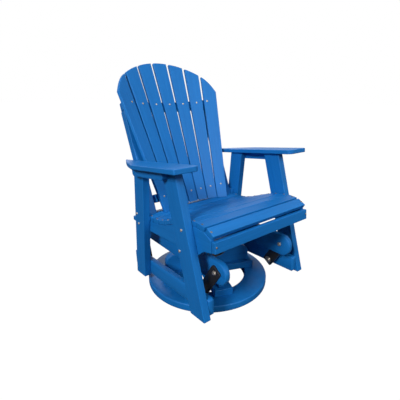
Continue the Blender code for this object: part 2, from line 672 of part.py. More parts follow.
def seat_side_outline(boards):
    """Return the side rail's outline: its top follows the seat boards, its front end the apron."""
    lean = math.radians(APRON_LEAN_DEG)
    apron_drop = Vector((math.sin(lean), -math.cos(lean)))
    apron_depth = Vector((math.cos(lean), math.sin(lean))) * (SEAT_BOARD_THICKNESS + CLEARANCE)
    apron_rear_top = Vector(APRON_TOP) + apron_depth
    apron_rear_low = apron_rear_top + apron_drop * APRON_HEIGHT
    nose_front, nose_tilt = boards[0]
    nose_under = under_board(nose_front, nose_tilt, 0)
    climb = apron_rear_top.x - nose_under.x
    points = [(*apron_rear_low, 0), (*apron_rear_top, 0)]
    points.append((apron_rear_top.x, nose_under.y + climb * math.tan(nose_tilt), 0))
    for number, (front, tilt) in enumerate(boards[:-1]):
        next_front, next_tilt = boards[number + 1]
        rear_under = under_board(front, tilt, SEAT_BOARD_WIDTH if number else NOSE_WIDTH)
        next_under = under_board(next_front, next_tilt, 0)
        points.append(((rear_under.x + next_under.x) / 2, min(rear_under.y, next_under.y), 0))
    tab = rear_slat_tab(boards)
    tab_under = under_board(*boards[-1], tab)
    step_y = tab_under.x + EDGE_ROUND
    rear_top = leg_edge(REAR_LEG_FOOT_Y, REAR_LEG_LEAN_DEG, SEAT_SIDE_REAR_TOP)
    rear_low = leg_edge(REAR_LEG_FOOT_Y, REAR_LEG_LEAN_DEG, SEAT_SIDE_LOW)
    width = REAR_LEG_WIDTH / math.cos(math.radians(REAR_LEG_LEAN_DEG))
    points += [
        (step_y, tab_under.y, 0), (step_y + EDGE_ROUND, SEAT_SIDE_REAR_TOP, 0),
        (rear_top + width, SEAT_SIDE_REAR_TOP, SEAT_SIDE_CORNER_ROUND),
        (rear_low + width, SEAT_SIDE_LOW, SEAT_SIDE_CORNER_ROUND),
        (rear_low - SEAT_SIDE_HEEL_RUN, SEAT_SIDE_LOW, 0), (*SEAT_SIDE_LOW_FRONT, SEAT_SIDE_CORNER_ROUND),
        (*SEAT_SIDE_STEP, SEAT_SIDE_STEP_ROUND),
    ]
    return fillet(points)


def rear_slat_tab(boards):
    """Return how far the rear seat slat's ends run back before they are notched round the posts."""
    front, tilt = boards[-1]
    under = under_board(front, tilt, 0)
    return post_front(under.y) - under.x - REAR_SLAT_NOTCH_GAP


def build_seat(parent, blue):
    """Make the apron, the nose slat, the seat slats and the shaped side rails."""
    boards = seat_layout()
    outline = seat_side_outline(boards)
    for side_name, side in SIDES:
        name = "seat_side_" + side_name
        rail = prism(name, outline, side * SEAT_SIDE_INNER_X, side * STRETCHER_OUTER_X, "X", parent, blue)
        round_edges(rail, SLAT_EDGE_ROUND)
    for number, (front, tilt) in enumerate(boards):
        half = SEAT_HALF_LENGTH if number else SEAT_HALF_LENGTH - NOSE_END_INSET
        name = "seat_slat_%d" % number if number else "seat_nose_slat"
        width = SEAT_BOARD_WIDTH if number else NOSE_WIDTH
        low, high = (-half, 0, -SEAT_BOARD_THICKNESS), (half, width, 0)
        if number == len(boards) - 1:
            slat = prism(name, rear_slat_outline(boards), low[2], high[2], "Z", parent, blue)
        else:
            slat = block(name, low, high, parent, blue)
        slat.location = (0, front.x, front.y)
        slat.rotation_euler.x = tilt
        round_edges(slat, SLAT_EDGE_ROUND)
    half = SEAT_HALF_LENGTH - APRON_END_INSET
    apron = block("seat_apron", (-half, 0, -APRON_HEIGHT), (half, SEAT_BOARD_THICKNESS, 0), parent, blue)
    apron.location = (0, *APRON_TOP)
    apron.rotation_euler.x = math.radians(APRON_LEAN_DEG)
    round_edges(apron, SLAT_EDGE_ROUND)


def rear_slat_outline(boards):
    """Return the rear seat slat's plan, notched at its ends round the posts."""
    tab = rear_slat_tab(boards)
    half, notch_x = SEAT_HALF_LENGTH, POST_INNER_X - REAR_SLAT_NOTCH_GAP
    return (
        (-half, 0), (half, 0), (half, tab), (notch_x, tab), (notch_x, SEAT_BOARD_WIDTH),
        (-notch_x, SEAT_BOARD_WIDTH), (-notch_x, tab), (-half, tab),
    )


def slat_axes(number):
    """Return the axes of a back slat: across, to the rear and up its length."""
    turn_angle = math.asin(number * BACK_FAN_SHARE / BACK_CUP_SHARE)
    along = Vector((BACK_CUP_SHARE * math.sin(turn_angle), -BACK_CUP_SHARE * (1 - math.cos(turn_angle)), 1))
    along.normalize()
    across = Vector((math.cos(turn_angle), -math.sin(turn_angle), 0))
    across = (across - across.dot(along) * along).normalized()
    return across, along.cross(across), along


def slat_taper(number):
    """Return a back slat's half width for each unit of length from the fan's apex."""
    return BACK_FAN_SHARE / 2 / math.cos(math.asin(number * BACK_FAN_SHARE / BACK_CUP_SHARE))


def slat_back(number, x, w):
    """Return n on the rear face of a back slat."""
    rearward = slat_axes(number)[1]
    return (BACK_SLAT_THICKNESS - rearward.x * x - rearward.z * (w + BACK_APEX_DEPTH)) / rearward.y


def arch_length(number, share):
    """Return how long a slat is from the apex to the arch, on a line at a share of its half width."""
    across, _, along = slat_axes(number)
    taper = slat_taper(number)
    start = Vector((across.x, across.z)) * (-share * BACK_SLAT_GAP / 2)
    start.y -= BACK_APEX_DEPTH + BACK_ARCH_CENTRE
    step = Vector((along.x + share * taper * across.x, along.z + share * taper * across.z))
    half = start.dot(step) / step.dot(step)
    rest = (start.dot(start) - BACK_ARCH_RADIUS ** 2) / step.dot(step)
    return -half + math.sqrt(half ** 2 - rest)


def slat_half(number, length):
    """Return a back slat's half width at a length from the apex; the gaps between slats open upwards."""
    rise = (length - BACK_APEX_DEPTH) / BACK_HEIGHT
    gap = BACK_SLAT_FOOT_GAP + rise * (BACK_SLAT_GAP - BACK_SLAT_FOOT_GAP)
    return length * slat_taper(number) - gap / 2


def end_drop(number, share):
    """Return how far the outermost slats' tops fall below the arch, towards their outer corners."""
    if abs(number) < BACK_SLAT_COUNT // 2:
        return 0
    outward = (1 + math.copysign(share, share * number)) / 2
    return BACK_END_DROP * outward ** 2


def slat_outline(number):
    """Return a back slat's outline (across, length from the apex)."""
    foot = BACK_APEX_DEPTH - BACK_SLAT_SPARE
    half = slat_half(number, foot)
    points = [(-half, foot), (half, foot)]
    for step in range(BACK_ARCH_STEPS + 1):
        share = 1 - 2 * step / BACK_ARCH_STEPS
        length = arch_length(number, share)
        points.append((share * slat_half(number, length), length - end_drop(number, share)))
    return points


def slat_matrix(number):
    """Return a back slat's place in the back's frame."""
    return Matrix.Translation((0, 0, -BACK_APEX_DEPTH)) @ Matrix(slat_axes(number)).transposed().to_4x4()


def trimmed_slat(number):
    """Return a back slat's mesh, with its foot cut along the rear seat slat that it stands over."""
    lean = Matrix.Rotation(-math.radians(BACK_RECLINE_DEG), 4, "X")
    into_slat = (Matrix.Translation((0, *BACK_FOOT)) @ lean @ slat_matrix(number)).inverted()
    front, tilt = seat_layout()[-1]
    normal = Vector((0, -math.sin(tilt), math.cos(tilt)))
    builder = pushed(slat_outline(number), 0, BACK_SLAT_THICKNESS, "Y")
    cut = bmesh.ops.bisect_plane(
        builder, geom=builder.verts[:] + builder.edges[:] + builder.faces[:],
        plane_co=into_slat @ (Vector((0, *front)) + normal * BACK_FOOT_GAP),
        plane_no=into_slat.to_3x3() @ normal, clear_inner=True,
    )
    foot = [edge for edge in cut["geom_cut"] if isinstance(edge, bmesh.types.BMEdge)]
    bmesh.ops.contextual_create(builder, geom=foot)
    return builder


def brace_front(low):
    """Return the faceted front of a brace that seats on the slats' rear faces at its lower edge."""
    last = BACK_SLAT_COUNT // 2
    pitch = BACK_FAN_SHARE * (low + BACK_APEX_DEPTH)
    points = []
    for number in range(-last, last):
        x = (2 * number + 1) * pitch / 2
        points.append((x, max(slat_back(number, x, low), slat_back(number + 1, x, low)) + CLEARANCE))
    return points


def build_back(parent, blue):
    """Make the fan of slats, the braces they are screwed to and the posts that carry the braces."""
    frame = empty("back_frame", parent, (0, *BACK_FOOT), turn_x=-math.radians(BACK_RECLINE_DEG))
    last = BACK_SLAT_COUNT // 2
    for number in range(-last, last + 1):
        name = "back_slat_%d" % (number + last + 1)
        slat = piece(name, trimmed_slat(number), frame, blue)
        slat.matrix_local = slat_matrix(number)
        round_edges(slat, SLAT_EDGE_ROUND)
    build_upper_brace(frame, blue)
    build_lower_brace(frame, blue)
    for side_name, side in SIDES:
        outline = ((side * POST_INNER_X, 0), (side * POST_OUTER_X, 0),
                   (side * POST_OUTER_X, POST_DEPTH), (side * POST_INNER_X, POST_DEPTH))
        top = UPPER_BRACE_LOW - CLEARANCE
        post = prism("back_post_" + side_name, outline, POST_LOW, top, "Z", frame, blue)
        round_edges(post, EDGE_ROUND)


def build_upper_brace(frame, blue):
    """Make the upper brace: faceted in front, bowed at the rear, with round ends."""
    half = POST_OUTER_X + UPPER_BRACE_OVERHANG
    facets = brace_front(UPPER_BRACE_LOW)
    slope = (facets[-1][1] - facets[-2][1]) / (facets[-1][0] - facets[-2][0])
    end_n = facets[-1][1] + slope * (half - facets[-1][0])
    bow = UPPER_BRACE_MID_DEPTH - UPPER_BRACE_END_DEPTH
    radius = (half ** 2 + bow ** 2) / (2 * bow)
    sweep = math.asin(half / radius)
    corners = [(-half, end_n, UPPER_BRACE_END_ROUND)] + [(*facet, 0) for facet in facets]
    corners += [(half, end_n, UPPER_BRACE_END_ROUND), (half, UPPER_BRACE_END_DEPTH, UPPER_BRACE_END_ROUND)]
    for step in range(1, UPPER_BRACE_ARC_STEPS):
        angle = sweep * (1 - 2 * step / UPPER_BRACE_ARC_STEPS)
        corners.append((radius * math.sin(angle), UPPER_BRACE_MID_DEPTH - radius * (1 - math.cos(angle)), 0))
    corners.append((-half, UPPER_BRACE_END_DEPTH, UPPER_BRACE_END_ROUND))
    top = UPPER_BRACE_LOW + UPPER_BRACE_HEIGHT
    brace = prism("back_upper_brace", fillet(corners), UPPER_BRACE_LOW, top, "Z", frame, blue)
    round_edges(brace, EDGE_ROUND)


def build_lower_brace(frame, blue):
    """Make the lower brace, which fits between the posts."""
    half = POST_INNER_X - CLEARANCE
    facets = brace_front(LOWER_BRACE_LOW)
    slope = (facets[-1][1] - facets[-2][1]) / (facets[-1][0] - facets[-2][0])
    end_n = facets[-1][1] + slope * (half - facets[-1][0])
    outline = [(-half, end_n)] + facets + [(half, end_n)]
    outline += [(half, LOWER_BRACE_DEPTH), (-half, LOWER_BRACE_DEPTH)]
    top = LOWER_BRACE_LOW + LOWER_BRACE_HEIGHT
    brace = prism("back_lower_brace", outline, LOWER_BRACE_LOW, top, "Z", frame, blue)
    round_edges(brace, SLAT_EDGE_ROUND)


def build_rear_board(parent, blue):
    """Make the batten that ties the rear ends of the side rails behind the rear legs."""
    edge = leg_edge(REAR_LEG_FOOT_Y, REAR_LEG_LEAN_DEG, REAR_BATTEN_Z)
    width = REAR_LEG_WIDTH / math.cos(math.radians(REAR_LEG_LEAN_DEG))
    half = REAR_BATTEN_SIZE / 2
    low, high = (-LEG_OUTER_X, CLEARANCE, -half), (LEG_OUTER_X, CLEARANCE + REAR_BATTEN_SIZE, half)
    batten = block("rear_cross_board", low, high, parent, blue)
    batten.location = (0, edge + width, REAR_BATTEN_Z)
    batten.rotation_euler.x = -math.radians(REAR_LEG_LEAN_DEG)
    round_edges(batten, SLAT_EDGE_ROUND)


def build_arms(parent, blue):
    """Make the arm boards and the cleats that hold them to the legs."""
    frame = empty("arm_frame", parent, (0, *ARM_FRONT_TOP), turn_x=-math.radians(ARM_SLOPE_DEG))
    front_x, rear_x = LEG_OUTER_X - ARM_FRONT_INSET, LEG_OUTER_X - ARM_REAR_INSET
    outer_x = LEG_OUTER_X + ARM_OVERHANG
    rear_leg_run = under_arm(REAR_LEG_FOOT_Y, REAR_LEG_LEAN_DEG)[0] - ARM_FRONT_TOP[0]
    cleat_stop = rear_leg_run + CLEAT_REAR_LAP
    for side_name, side in SIDES:
        corners = (
            (front_x, 0, ARM_FRONT_INNER_ROUND), (outer_x, 0, ARM_FRONT_ROUND),
            (outer_x, ARM_TAPER_START, ARM_SIDE_ROUND),
            (LEG_OUTER_X + ARM_WAIST_OVERHANG, ARM_WAIST_RUN, ARM_SIDE_ROUND),
            (LEG_OUTER_X - ARM_HEEL_INSET, ARM_HEEL_RUN, 0),
            (LEG_OUTER_X - ARM_TIP_INSET, ARM_LENGTH, ARM_TIP_ROUND),
            (rear_x, ARM_LENGTH, ARM_TIP_ROUND), (rear_x, ARM_TAPER_START, 0),
        )
        outline = [(side * x, s) for x, s in fillet(corners)]
        arm = prism("arm_" + side_name, outline, -ARM_THICKNESS, 0, "Z", frame, blue)
        round_edges(arm, ARM_EDGE_ROUND)
        top = -ARM_THICKNESS - CLEARANCE
        bottom = top - CLEAT_HEIGHT
        cleat_outline = fillet((
            (CLEAT_START, top, 0), (CLEAT_START, bottom, CLEAT_NOSE_ROUND),
            (cleat_stop, bottom, CLEAT_NOSE_ROUND), (cleat_stop, top, 0),
        ))
        inner = LEG_OUTER_X + CLEARANCE
        outer = inner + CLEAT_THICKNESS
        cleat = prism("arm_cleat_" + side_name, cleat_outline, side * inner, side * outer, "X", frame, blue)
        round_edges(cleat, EDGE_ROUND)


def main():
    """Build the chair."""
    clear_scene()
    blue = finish("poly_blue", BLUE, 0.55, 0.0)
    black = finish("arm_black", BLACK, 0.45, 0.0)
    steel = finish("screw_steel", STEEL, 0.35, 1.0)
    zinc = finish("swivel_zinc", ZINC, 0.40, 1.0)
    front_upper, front_lower, rear_upper, front_slant, rear_slant = linkage()
    axis = empty("swivel_axis", None, (0, SWIVEL_Y, 0))
    glider = empty("glider_frame_axis", axis)
    front_pivot = empty("front_upper_pivot", glider, (0, *front_upper), turn_x=front_slant)
    rear_pivot = empty("rear_upper_pivot", glider, (0, *rear_upper), turn_x=rear_slant)
    chair = empty("front_lower_pivot", glider, (0, *front_lower), turn_x=-math.radians(CHAIR_PITCH_DEG))
    build_base(axis, blue)
    build_swivel(axis, glider, zinc, steel)
    build_glider_frame(glider, front_upper, rear_upper, blue, steel)
    build_swing_arms((front_pivot, rear_pivot), black)
    build_stretchers(chair, blue, steel)
    build_legs(chair, blue)
    build_seat(chair, blue)
    build_back(chair, blue)
    build_rear_board(chair, blue)
    build_arms(chair, blue)
    pivots = (("front upper", front_upper), ("front lower", front_lower), ("rear upper", rear_upper))
    for label, point in pivots:
        print("pivot", label, SWIVEL_Y + point.x, point.y)


main()
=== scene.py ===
"""Swivel glider chair in blue poly lumber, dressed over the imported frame.

Metres, +Z up. The sitter faces -Y and the sitter's left is +X. Each assembly is drawn in the frame that it
hangs in: the swivel axis, the swing arms' upper pivots, and the chair's own frame at the front lower pivot.
"""
import sys
import logging
import math
from collections.abc import Iterable, Sequence
from dataclasses import dataclass, field
from enum import Enum

import bmesh
import bpy
from mathutils import Matrix, Vector


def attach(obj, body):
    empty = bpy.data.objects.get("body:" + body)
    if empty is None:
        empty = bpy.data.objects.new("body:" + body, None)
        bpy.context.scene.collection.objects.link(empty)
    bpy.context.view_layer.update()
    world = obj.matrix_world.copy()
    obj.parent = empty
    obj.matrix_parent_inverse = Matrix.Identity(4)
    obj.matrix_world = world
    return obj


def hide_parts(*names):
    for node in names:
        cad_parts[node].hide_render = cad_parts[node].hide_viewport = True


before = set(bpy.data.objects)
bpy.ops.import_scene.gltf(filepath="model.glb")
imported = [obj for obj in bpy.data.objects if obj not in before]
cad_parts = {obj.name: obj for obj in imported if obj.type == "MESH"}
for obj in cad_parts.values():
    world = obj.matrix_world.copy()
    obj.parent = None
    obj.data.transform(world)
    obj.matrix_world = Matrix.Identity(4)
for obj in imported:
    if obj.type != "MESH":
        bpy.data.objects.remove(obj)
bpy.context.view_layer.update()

LOG = logging.getLogger("swivel_glider")

Tint = tuple[float, float, float, float]
Spot = tuple[float, float]
Corner = tuple[float, float, float]

GREY = 0.5  # the mean of every noise
GRAIN_SHIFT = (7.3, 3.1, 5.7)  # how far the grain may shift from piece to piece
ON_AXIS = 1e-7  # a turned point nearer to its axis than this lies on it
WELD = 3e-6  # corners nearer to each other than this are one
SHARP_DEG = 40.0  # edges that turn more than this are sharp, or rounded where the board has an edge radius
BORE_SHARP_DEG = 32.0  # the same for a bored board
EDGE_STEPS = 3  # how many steps a rounded edge has
WHITE: Tint = (1.0, 1.0, 1.0, 1.0)


class Axis(Enum):
    """The axis that an outline is pushed along."""

    X = 0
    Y = 1
    Z = 2


class Side(Enum):
    """The sitter's left and right."""

    LEFT = 1
    RIGHT = -1

    @property
    def label(self) -> str:
        """Return the side's name in node names."""
        return self.name.lower()


class End(Enum):
    """The front and rear ends of the chair."""

    FRONT = "front"
    REAR = "rear"


class Body(Enum):
    """The bodies of the frame that the pieces ride on."""

    BASE = "base"
    GLIDER = "glider_frame"
    FRONT_ARMS = "front_swing_arms"
    REAR_ARMS = "rear_swing_arms"
    CHAIR = "chair"


class Slot(Enum):
    """The record's material slots."""

    BLUE = "poly_blue"
    BLACK = "arm_black"
    STEEL = "bolt_steel"
    ZINC = "swivel_zinc"


class Wire:
    """One output of a node; sums and products of wires become Math nodes."""

    def __init__(self, sheet: "NodeSheet", socket: bpy.types.NodeSocket | None) -> None:
        """Keep the node's sheet and its output socket, or None where the node ends a sheet."""
        self.sheet = sheet
        self.socket = socket

    def _math(self, operation: str, left: "Wire | float", right: "Wire | float") -> "Wire":
        """Return the output of a new Math node."""
        return self.sheet.node("ShaderNodeMath", {"operation": operation}, {0: left, 1: right})

    def __add__(self, other: "Wire | float") -> "Wire":
        """Return the sum."""
        return self._math("ADD", self, other)

    def __radd__(self, other: float) -> "Wire":
        """Return the sum with a number in front."""
        return self._math("ADD", other, self)

    def __sub__(self, other: "Wire | float") -> "Wire":
        """Return the difference."""
        return self._math("SUBTRACT", self, other)

    def __rsub__(self, other: float) -> "Wire":
        """Return the difference from a number."""
        return self._math("SUBTRACT", other, self)

    def __mul__(self, other: "Wire | float") -> "Wire":
        """Return the product."""
        return self._math("MULTIPLY", self, other)

    def __rmul__(self, other: float) -> "Wire":
        """Return the product with a number in front."""
        return self._math("MULTIPLY", other, self)


class NodeSheet:
    """The nodes of one material or of the world."""

    def __init__(self, owner: bpy.types.Material | bpy.types.World) -> None:
        """Clear the owner's nodes.

        Args:
            owner: The material or world that the nodes belong to.
        """
        owner.use_nodes = True
        self.tree = owner.node_tree
        self.tree.nodes.clear()

    def node(self, kind: str, settings: dict[str, object] | None = None,
             sockets: dict[int | str, object] | None = None, output: int | str = 0) -> Wire:
        """Add a node of any type.

        Args:
            kind: Blender's name of the node type.
            settings: The node's own settings, which are set first.
            sockets: Values or wires for the node's inputs, by number or name.
            output: The output that the caller goes on with.

        Returns:
            The wire from that output.
        """
        item = self.tree.nodes.new(kind)
        for name, value in (settings or {}).items():
            setattr(item, name, value)
        for key, value in (sockets or {}).items():
            target = item.inputs[key]
            if isinstance(value, Wire):
                self.tree.links.new(value.socket, target)
            else:
                target.default_value = value
        return Wire(self, item.outputs[output] if item.outputs else None)

    def scaled(self, vector: Wire, factors: Corner) -> Wire:
        """Return a vector multiplied part by part."""
        return self.node("ShaderNodeVectorMath", {"operation": "MULTIPLY"}, {0: vector, 1: factors})

    def shifted_place(self) -> Wire:
        """Shift the grain, so that no two pieces have the same.

        Returns:
            The wire of the place on the piece.
        """
        place = self.node("ShaderNodeTexCoord", output="Object")
        lot = self.node("ShaderNodeObjectInfo", output="Random")
        shift = self.node("ShaderNodeVectorMath", {"operation": "SCALE"}, {0: GRAIN_SHIFT, "Scale": lot})
        return self.node("ShaderNodeVectorMath", {"operation": "ADD"}, {0: place, 1: shift})

    def noise(self, place: Wire, scale: float = 1.0, detail: float = 2.0, roughness: float = 0.55) -> Wire:
        """Return a grey noise from 0 to 1, with a number of finer layers as detail and their strength."""
        values = {"Vector": place, "Scale": scale, "Detail": detail, "Roughness": roughness}
        return self.node("ShaderNodeTexNoise", {"noise_dimensions": "3D"}, values)

    def blend_colour(self, share: Wire, low: Tint, high: Tint) -> Wire:
        """Return a colour between two, by a share from 0 to 1."""
        settings = {"data_type": "RGBA", "clamp_factor": True}
        return self.node("ShaderNodeMix", settings, {0: share, 6: low, 7: high}, output=2)

    def bump(self, height: Wire, distance: float, strength: float) -> Wire:
        """Return the normal of a surface with a fine relief."""
        values = {"Height": height, "Distance": distance, "Strength": strength}
        return self.node("ShaderNodeBump", None, values)

    def surface(self, values: dict[int | str, object]) -> None:
        """End the sheet in a Principled shader."""
        shader = self.node("ShaderNodeBsdfPrincipled", None, values)
        self.node("ShaderNodeOutputMaterial", None, {"Surface": shader})


@dataclass(frozen=True)
class Finish:
    """What every finish has: a name and the record's slot that it belongs to."""

    name: str
    slot: Slot

    def material(self) -> bpy.types.Material:
        """Make the finish's material at its first use.

        Returns:
            The material.
        """
        known = bpy.data.materials.get(self.name)
        if known:
            return known
        made = bpy.data.materials.new(self.name)
        self.dress(NodeSheet(made))
        return made

    def dress(self, sheet: NodeSheet) -> None:
        """Lay out the finish's nodes on an empty sheet."""
        raise NotImplementedError


@dataclass(frozen=True)
class PolyLumber(Finish):
    """Coloured poly lumber: one colour right through, with fine drawn streaks along the board."""

    name: str = "blue_poly_lumber"
    slot: Slot = Slot.BLUE
    deep: Tint = (0.0030, 0.116, 0.378, 1.0)
    pale: Tint = (0.0090, 0.168, 0.505, 1.0)
    streak: Corner = (5.0, 150.0, 150.0)
    drift: Corner = (2.0, 9.0, 9.0)
    speckle: Corner = (260.0, 1050.0, 1050.0)
    streak_tone: float = 1.15
    drift_tone: float = 0.7
    speckle_tone: float = 0.85
    lot_tone: float = 0.16
    matt: float = 0.47
    streak_matt: float = 0.16
    speckle_matt: float = 0.14
    gloss: float = 0.20
    streak_share: float = 0.65
    relief: float = 0.00018

    def dress(self, sheet: NodeSheet) -> None:
        """Lay out the streaks, the speckle and the slow drift of tone.

        Args:
            sheet: The empty sheet.
        """
        place = sheet.shifted_place()
        streaks = sheet.noise(sheet.scaled(place, self.streak), detail=5.0, roughness=0.62)
        drift = sheet.noise(sheet.scaled(place, self.drift), detail=2.0)
        speckle = sheet.noise(sheet.scaled(place, self.speckle), detail=2.0, roughness=0.7)
        lot = sheet.node("ShaderNodeObjectInfo", output="Random")
        tone = (GREY + (streaks - GREY) * self.streak_tone + (drift - GREY) * self.drift_tone
                + (speckle - GREY) * self.speckle_tone + (lot - GREY) * self.lot_tone)
        matt = self.matt + (streaks - GREY) * self.streak_matt + (speckle - GREY) * self.speckle_matt
        relief = streaks * self.streak_share + speckle * (1.0 - self.streak_share)
        sheet.surface({
            "Base Color": sheet.blend_colour(tone, self.deep, self.pale),
            "Roughness": matt,
            "Specular IOR Level": self.gloss,
            "Normal": sheet.bump(relief, self.relief, strength=0.55),
        })


@dataclass(frozen=True)
class PowderCoat(Finish):
    """Black powder-coated steel plate, with a fine orange peel."""

    name: str = "black_powder_coat"
    slot: Slot = Slot.BLACK
    deep: Tint = (0.0065, 0.0065, 0.0075, 1.0)
    pale: Tint = (0.0180, 0.0180, 0.0200, 1.0)
    dust_share: float = 0.7
    matt: float = 0.40
    dust_matt: float = 0.2
    peel_matt: float = 0.1
    relief: float = 0.00012

    def dress(self, sheet: NodeSheet) -> None:
        """Lay out the orange peel and a light bloom of dust.

        Args:
            sheet: The empty sheet.
        """
        place = sheet.shifted_place()
        peel = sheet.noise(place, scale=900.0)
        dust = sheet.noise(place, scale=26.0, detail=4.0, roughness=0.6)
        tone = dust * self.dust_share + peel * (1.0 - self.dust_share)
        sheet.surface({
            "Base Color": sheet.blend_colour(tone, self.deep, self.pale),
            "Roughness": self.matt + (dust - GREY) * self.dust_matt + (peel - GREY) * self.peel_matt,
            "Normal": sheet.bump(peel, self.relief, strength=0.4),
        })


@dataclass(frozen=True)
class BoltSteel(Finish):
    """Stainless bolts and screws, with turning marks and a little tea stain."""

    name: str = "bolt_stainless"
    slot: Slot = Slot.STEEL
    bright: Tint = (0.60, 0.585, 0.56, 1.0)
    stained: Tint = (0.36, 0.29, 0.22, 1.0)
    stain: float = 0.9
    stain_metal: float = 0.25
    matt: float = 0.26
    stain_matt: float = 0.2
    mark_matt: float = 0.12
    marks: Corner = (200.0, 200.0, 2600.0)
    relief: float = 0.00005

    def dress(self, sheet: NodeSheet) -> None:
        """Lay out the stain and the turning marks.

        Args:
            sheet: The empty sheet.
        """
        place = sheet.shifted_place()
        stain = sheet.noise(place, scale=120.0, detail=4.0, roughness=0.6)
        marks = sheet.noise(sheet.scaled(place, self.marks))
        sheet.surface({
            "Base Color": sheet.blend_colour(stain * self.stain, self.bright, self.stained),
            "Metallic": 1.0 - stain * self.stain_metal,
            "Roughness": self.matt + stain * self.stain_matt + (marks - GREY) * self.mark_matt,
            "Normal": sheet.bump(marks, self.relief, strength=0.35),
        })


@dataclass(frozen=True)
class PlatedZinc(Finish):
    """Zinc-plated pressings with spangle and rubbed patches, darkened far below bare zinc as painted shade.
    """

    name: str = "plated_zinc"
    slot: Slot = Slot.ZINC
    # Both colours are painted shade: zinc darkened to near black, as the swivel sits in shadow under the
    # seat.
    dull: Tint = (0.100, 0.104, 0.108, 1.0)
    bright: Tint = (0.190, 0.194, 0.200, 1.0)
    rub_share: float = 0.6
    metal: float = 0.9
    matt: float = 0.32
    rub_matt: float = 0.18
    cell_matt: float = 0.08
    cell_scale: float = 160.0
    relief: float = 0.00006

    def dress(self, sheet: NodeSheet) -> None:
        """Lay out the spangle.

        Args:
            sheet: The empty sheet.
        """
        place = sheet.shifted_place()
        values = {"Vector": place, "Scale": self.cell_scale}
        cells = sheet.node("ShaderNodeTexVoronoi", {"feature": "F1"}, values)
        rub = sheet.noise(place, scale=22.0, detail=4.0, roughness=0.6)
        tone = rub * self.rub_share + cells * (1.0 - self.rub_share)
        sheet.surface({
            "Base Color": sheet.blend_colour(tone, self.dull, self.bright),
            "Metallic": self.metal,
            "Roughness": self.matt + rub * self.rub_matt + cells * self.cell_matt,
            "Normal": sheet.bump(cells, self.relief, strength=0.3),
        })


LUMBER = PolyLumber()
SHEET_LUMBER = PolyLumber(name="blue_poly_sheet", streak=(34.0, 34.0, 120.0))
BLACK_PLATE = PowderCoat()
BRIGHT_STEEL = BoltSteel()
SCREW_STEEL = BoltSteel("screw_stainless", bright=(0.50, 0.45, 0.38, 1.0), stained=(0.32, 0.25, 0.17, 1.0))
DULL_SCREW = BoltSteel("screw_dulled", bright=(0.20, 0.21, 0.22, 1.0), stained=(0.16, 0.12, 0.09, 1.0))
ZINC = PlatedZinc()


def turned_by(vector: Vector, angle: float) -> Vector:
    """Return a flat vector turned by an angle."""
    return Matrix.Rotation(angle, 2) @ vector


def rounded(corners: Sequence[Corner], step_deg: float = 6.0) -> list[Vector]:
    """Turn corners into an outline.

    Args:
        corners: Corners (a, b, radius); one with a radius becomes an arc.
        step_deg: The turn of each step of an arc.

    Returns:
        The points of the outline.
    """
    points = []
    for index, (a, b, radius) in enumerate(corners):
        here = Vector((a, b))
        if not radius:
            points.append(here)
            continue
        back = (Vector(corners[index - 1][:2]) - here).normalized()
        ahead = (Vector(corners[(index + 1) % len(corners)][:2]) - here).normalized()
        half = back.angle(ahead) / 2
        centre = here + (back + ahead).normalized() * (radius / math.sin(half))
        start = here + back * (radius / math.tan(half)) - centre
        sweep = math.pi - 2 * half
        bend = 1 if ahead.cross(back) > 0 else -1
        steps = max(1, round(math.degrees(sweep) / step_deg))
        points += [centre + turned_by(start, bend * sweep * step / steps) for step in range(steps + 1)]
    return points


def moved(*place: float) -> Matrix:
    """Return the matrix of a move."""
    return Matrix.Translation(place)


def tilted(degrees: float, axis: Axis = Axis.X) -> Matrix:
    """Return the matrix of a turn about an axis."""
    return Matrix.Rotation(math.radians(degrees), 4, axis.name)


def facing(place: Iterable[float], direction: Iterable[float]) -> Matrix:
    """Return a matrix at a place whose Z axis points along a direction."""
    return moved(*place) @ Vector(direction).to_track_quat("Z", "Y").to_matrix().to_4x4()


